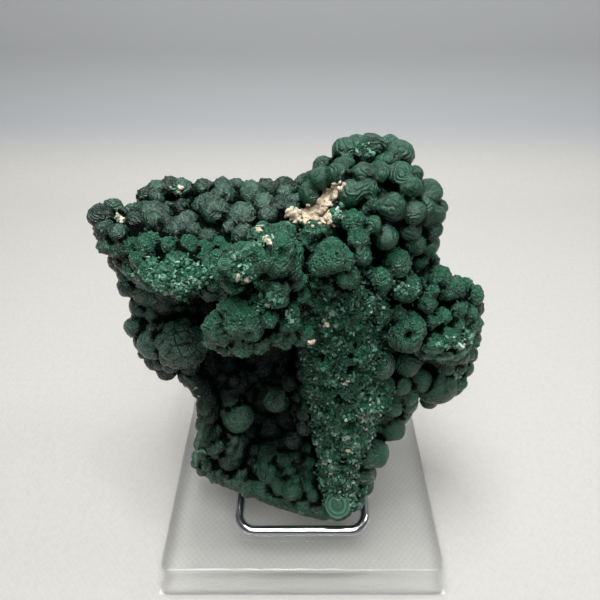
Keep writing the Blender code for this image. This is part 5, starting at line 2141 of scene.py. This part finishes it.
@dataclass(frozen=True)
class Lamp:
    """A square soft light: its place and size in millimetres, and its power in watts."""

    name: str
    place: Place
    size: float
    watts: float

    def build(self, target: Place) -> None:
        """Makes the light.

        Args:
            target: the place that it faces, in millimetres.
        """
        lamp = bpy.data.lights.new(self.name, "AREA")
        lamp.size = self.size * MM
        lamp.energy = self.watts
        light = bpy.data.objects.new(self.name, lamp)
        light.location = Vector(self.place) * MM
        aim = Vector(target) * MM - light.location
        light.rotation_euler = aim.to_track_quat("-Z", "Y").to_euler()
        bpy.context.scene.collection.objects.link(light)


@dataclass
class Studio:
    """The camera, the soft lights, and the plain pale sweep under and behind."""

    pitch: float = 40.3
    focal_pixels: float = 467.2
    image_width: float = 600.0
    sensor_width: float = 36.0
    sweep_width: float = 4000.0
    sweep_front: float = -1500.0
    sweep_back: float = 150.0
    sweep_radius: float = 60.0
    sweep_steps: int = 16
    sweep_height: float = 1200.0
    lamps: list[Lamp] = field(default_factory=lambda: [
        Lamp("key", (-50, 30, 480), 165, 1.9), Lamp("spark", (70, 10, 460), 20, 0.18),
        Lamp("ceiling", (10, -150, 500), 420, 2.2), Lamp("side", (280, 60, 330), 80, 0.35),
    ])
    lamp_target: Place = (0, 0, 45)
    room_colour: Colour = (0.93, 0.96, 1.0)
    room_strength: float = 0.12

    def build(self) -> None:
        """Makes the camera, the lights and the sweep."""
        self._camera()
        self._sweep()
        for lamp in self.lamps:
            lamp.build(self.lamp_target)
        world = bpy.data.worlds.new("soft_room")
        bpy.context.scene.world = world
        world.use_nodes = True
        background = world.node_tree.nodes["Background"]
        background.inputs["Color"].default_value = (*self.room_colour, 1.0)
        background.inputs["Strength"].default_value = self.room_strength
        bpy.context.scene.view_settings.view_transform = "Standard"

    def _camera(self) -> None:
        """Makes the camera and sets it as the scene's own."""
        lens = bpy.data.cameras.new("camera")
        lens.sensor_width = self.sensor_width
        lens.lens = self.focal_pixels / self.image_width * self.sensor_width
        lens.clip_start = MM
        camera = bpy.data.objects.new("camera", lens)
        camera.location = VIEWPOINT * MM
        camera.rotation_euler = (math.radians(90 - self.pitch), 0, 0)
        bpy.context.scene.collection.objects.link(camera)
        bpy.context.scene.camera = camera

    def _sweep(self) -> None:
        """Makes the floor, which curves up into a wall behind."""
        sheet = bmesh.new()
        half = self.sweep_width / 2 * MM
        front = self.sweep_front * MM
        back = self.sweep_back * MM
        ends = [sheet.verts.new((side, front, 0)) for side in (half, -half)]
        far = self._pull(sheet, [sheet.edges.new(ends)], Vector((0, back - front, 0)))
        hub = Vector((0, back, self.sweep_radius * MM))
        turned = bmesh.ops.spin(
            sheet, geom=far, cent=hub, axis=(1, 0, 0), angle=math.pi / 2, steps=self.sweep_steps
        )["geom_last"]
        edges = [item for item in turned if isinstance(item, bmesh.types.BMEdge)]
        self._pull(sheet, edges, Vector((0, 0, self.sweep_height * MM)))
        floor = new_piece("floor", mesh_from(sheet))
        floor.data.shade_smooth()
        floor.data.materials.append(ClothFinish().material())

    @staticmethod
    def _pull(
        sheet: bmesh.types.BMesh, edges: list[bmesh.types.BMEdge], move: Vector
    ) -> list[bmesh.types.BMEdge | bmesh.types.BMVert]:
        """Pulls edges out into faces.

        Args:
            sheet: the bmesh that holds them.
            edges: the edges.
            move: how far and which way, in metres.

        Returns:
            The edges and the corners at the new end.
        """
        out = bmesh.ops.extrude_edge_only(sheet, edges=edges)["geom"]
        corners = [item for item in out if isinstance(item, bmesh.types.BMVert)]
        bmesh.ops.translate(sheet, verts=corners, vec=move)
        return [item for item in out if isinstance(item, bmesh.types.BMEdge)] + corners


def main() -> None:
    """Builds the studio, the easel, the block and the stone."""
    logging.basicConfig(level=logging.INFO, format="%(name)s: %(message)s")
    noise.seed_set(NOISE_SEED)
    Studio().build()
    easel = Easel()
    easel.build()
    Block().build()
    Stone(Form(), easel).build()


if __name__ == "__main__":
    main()
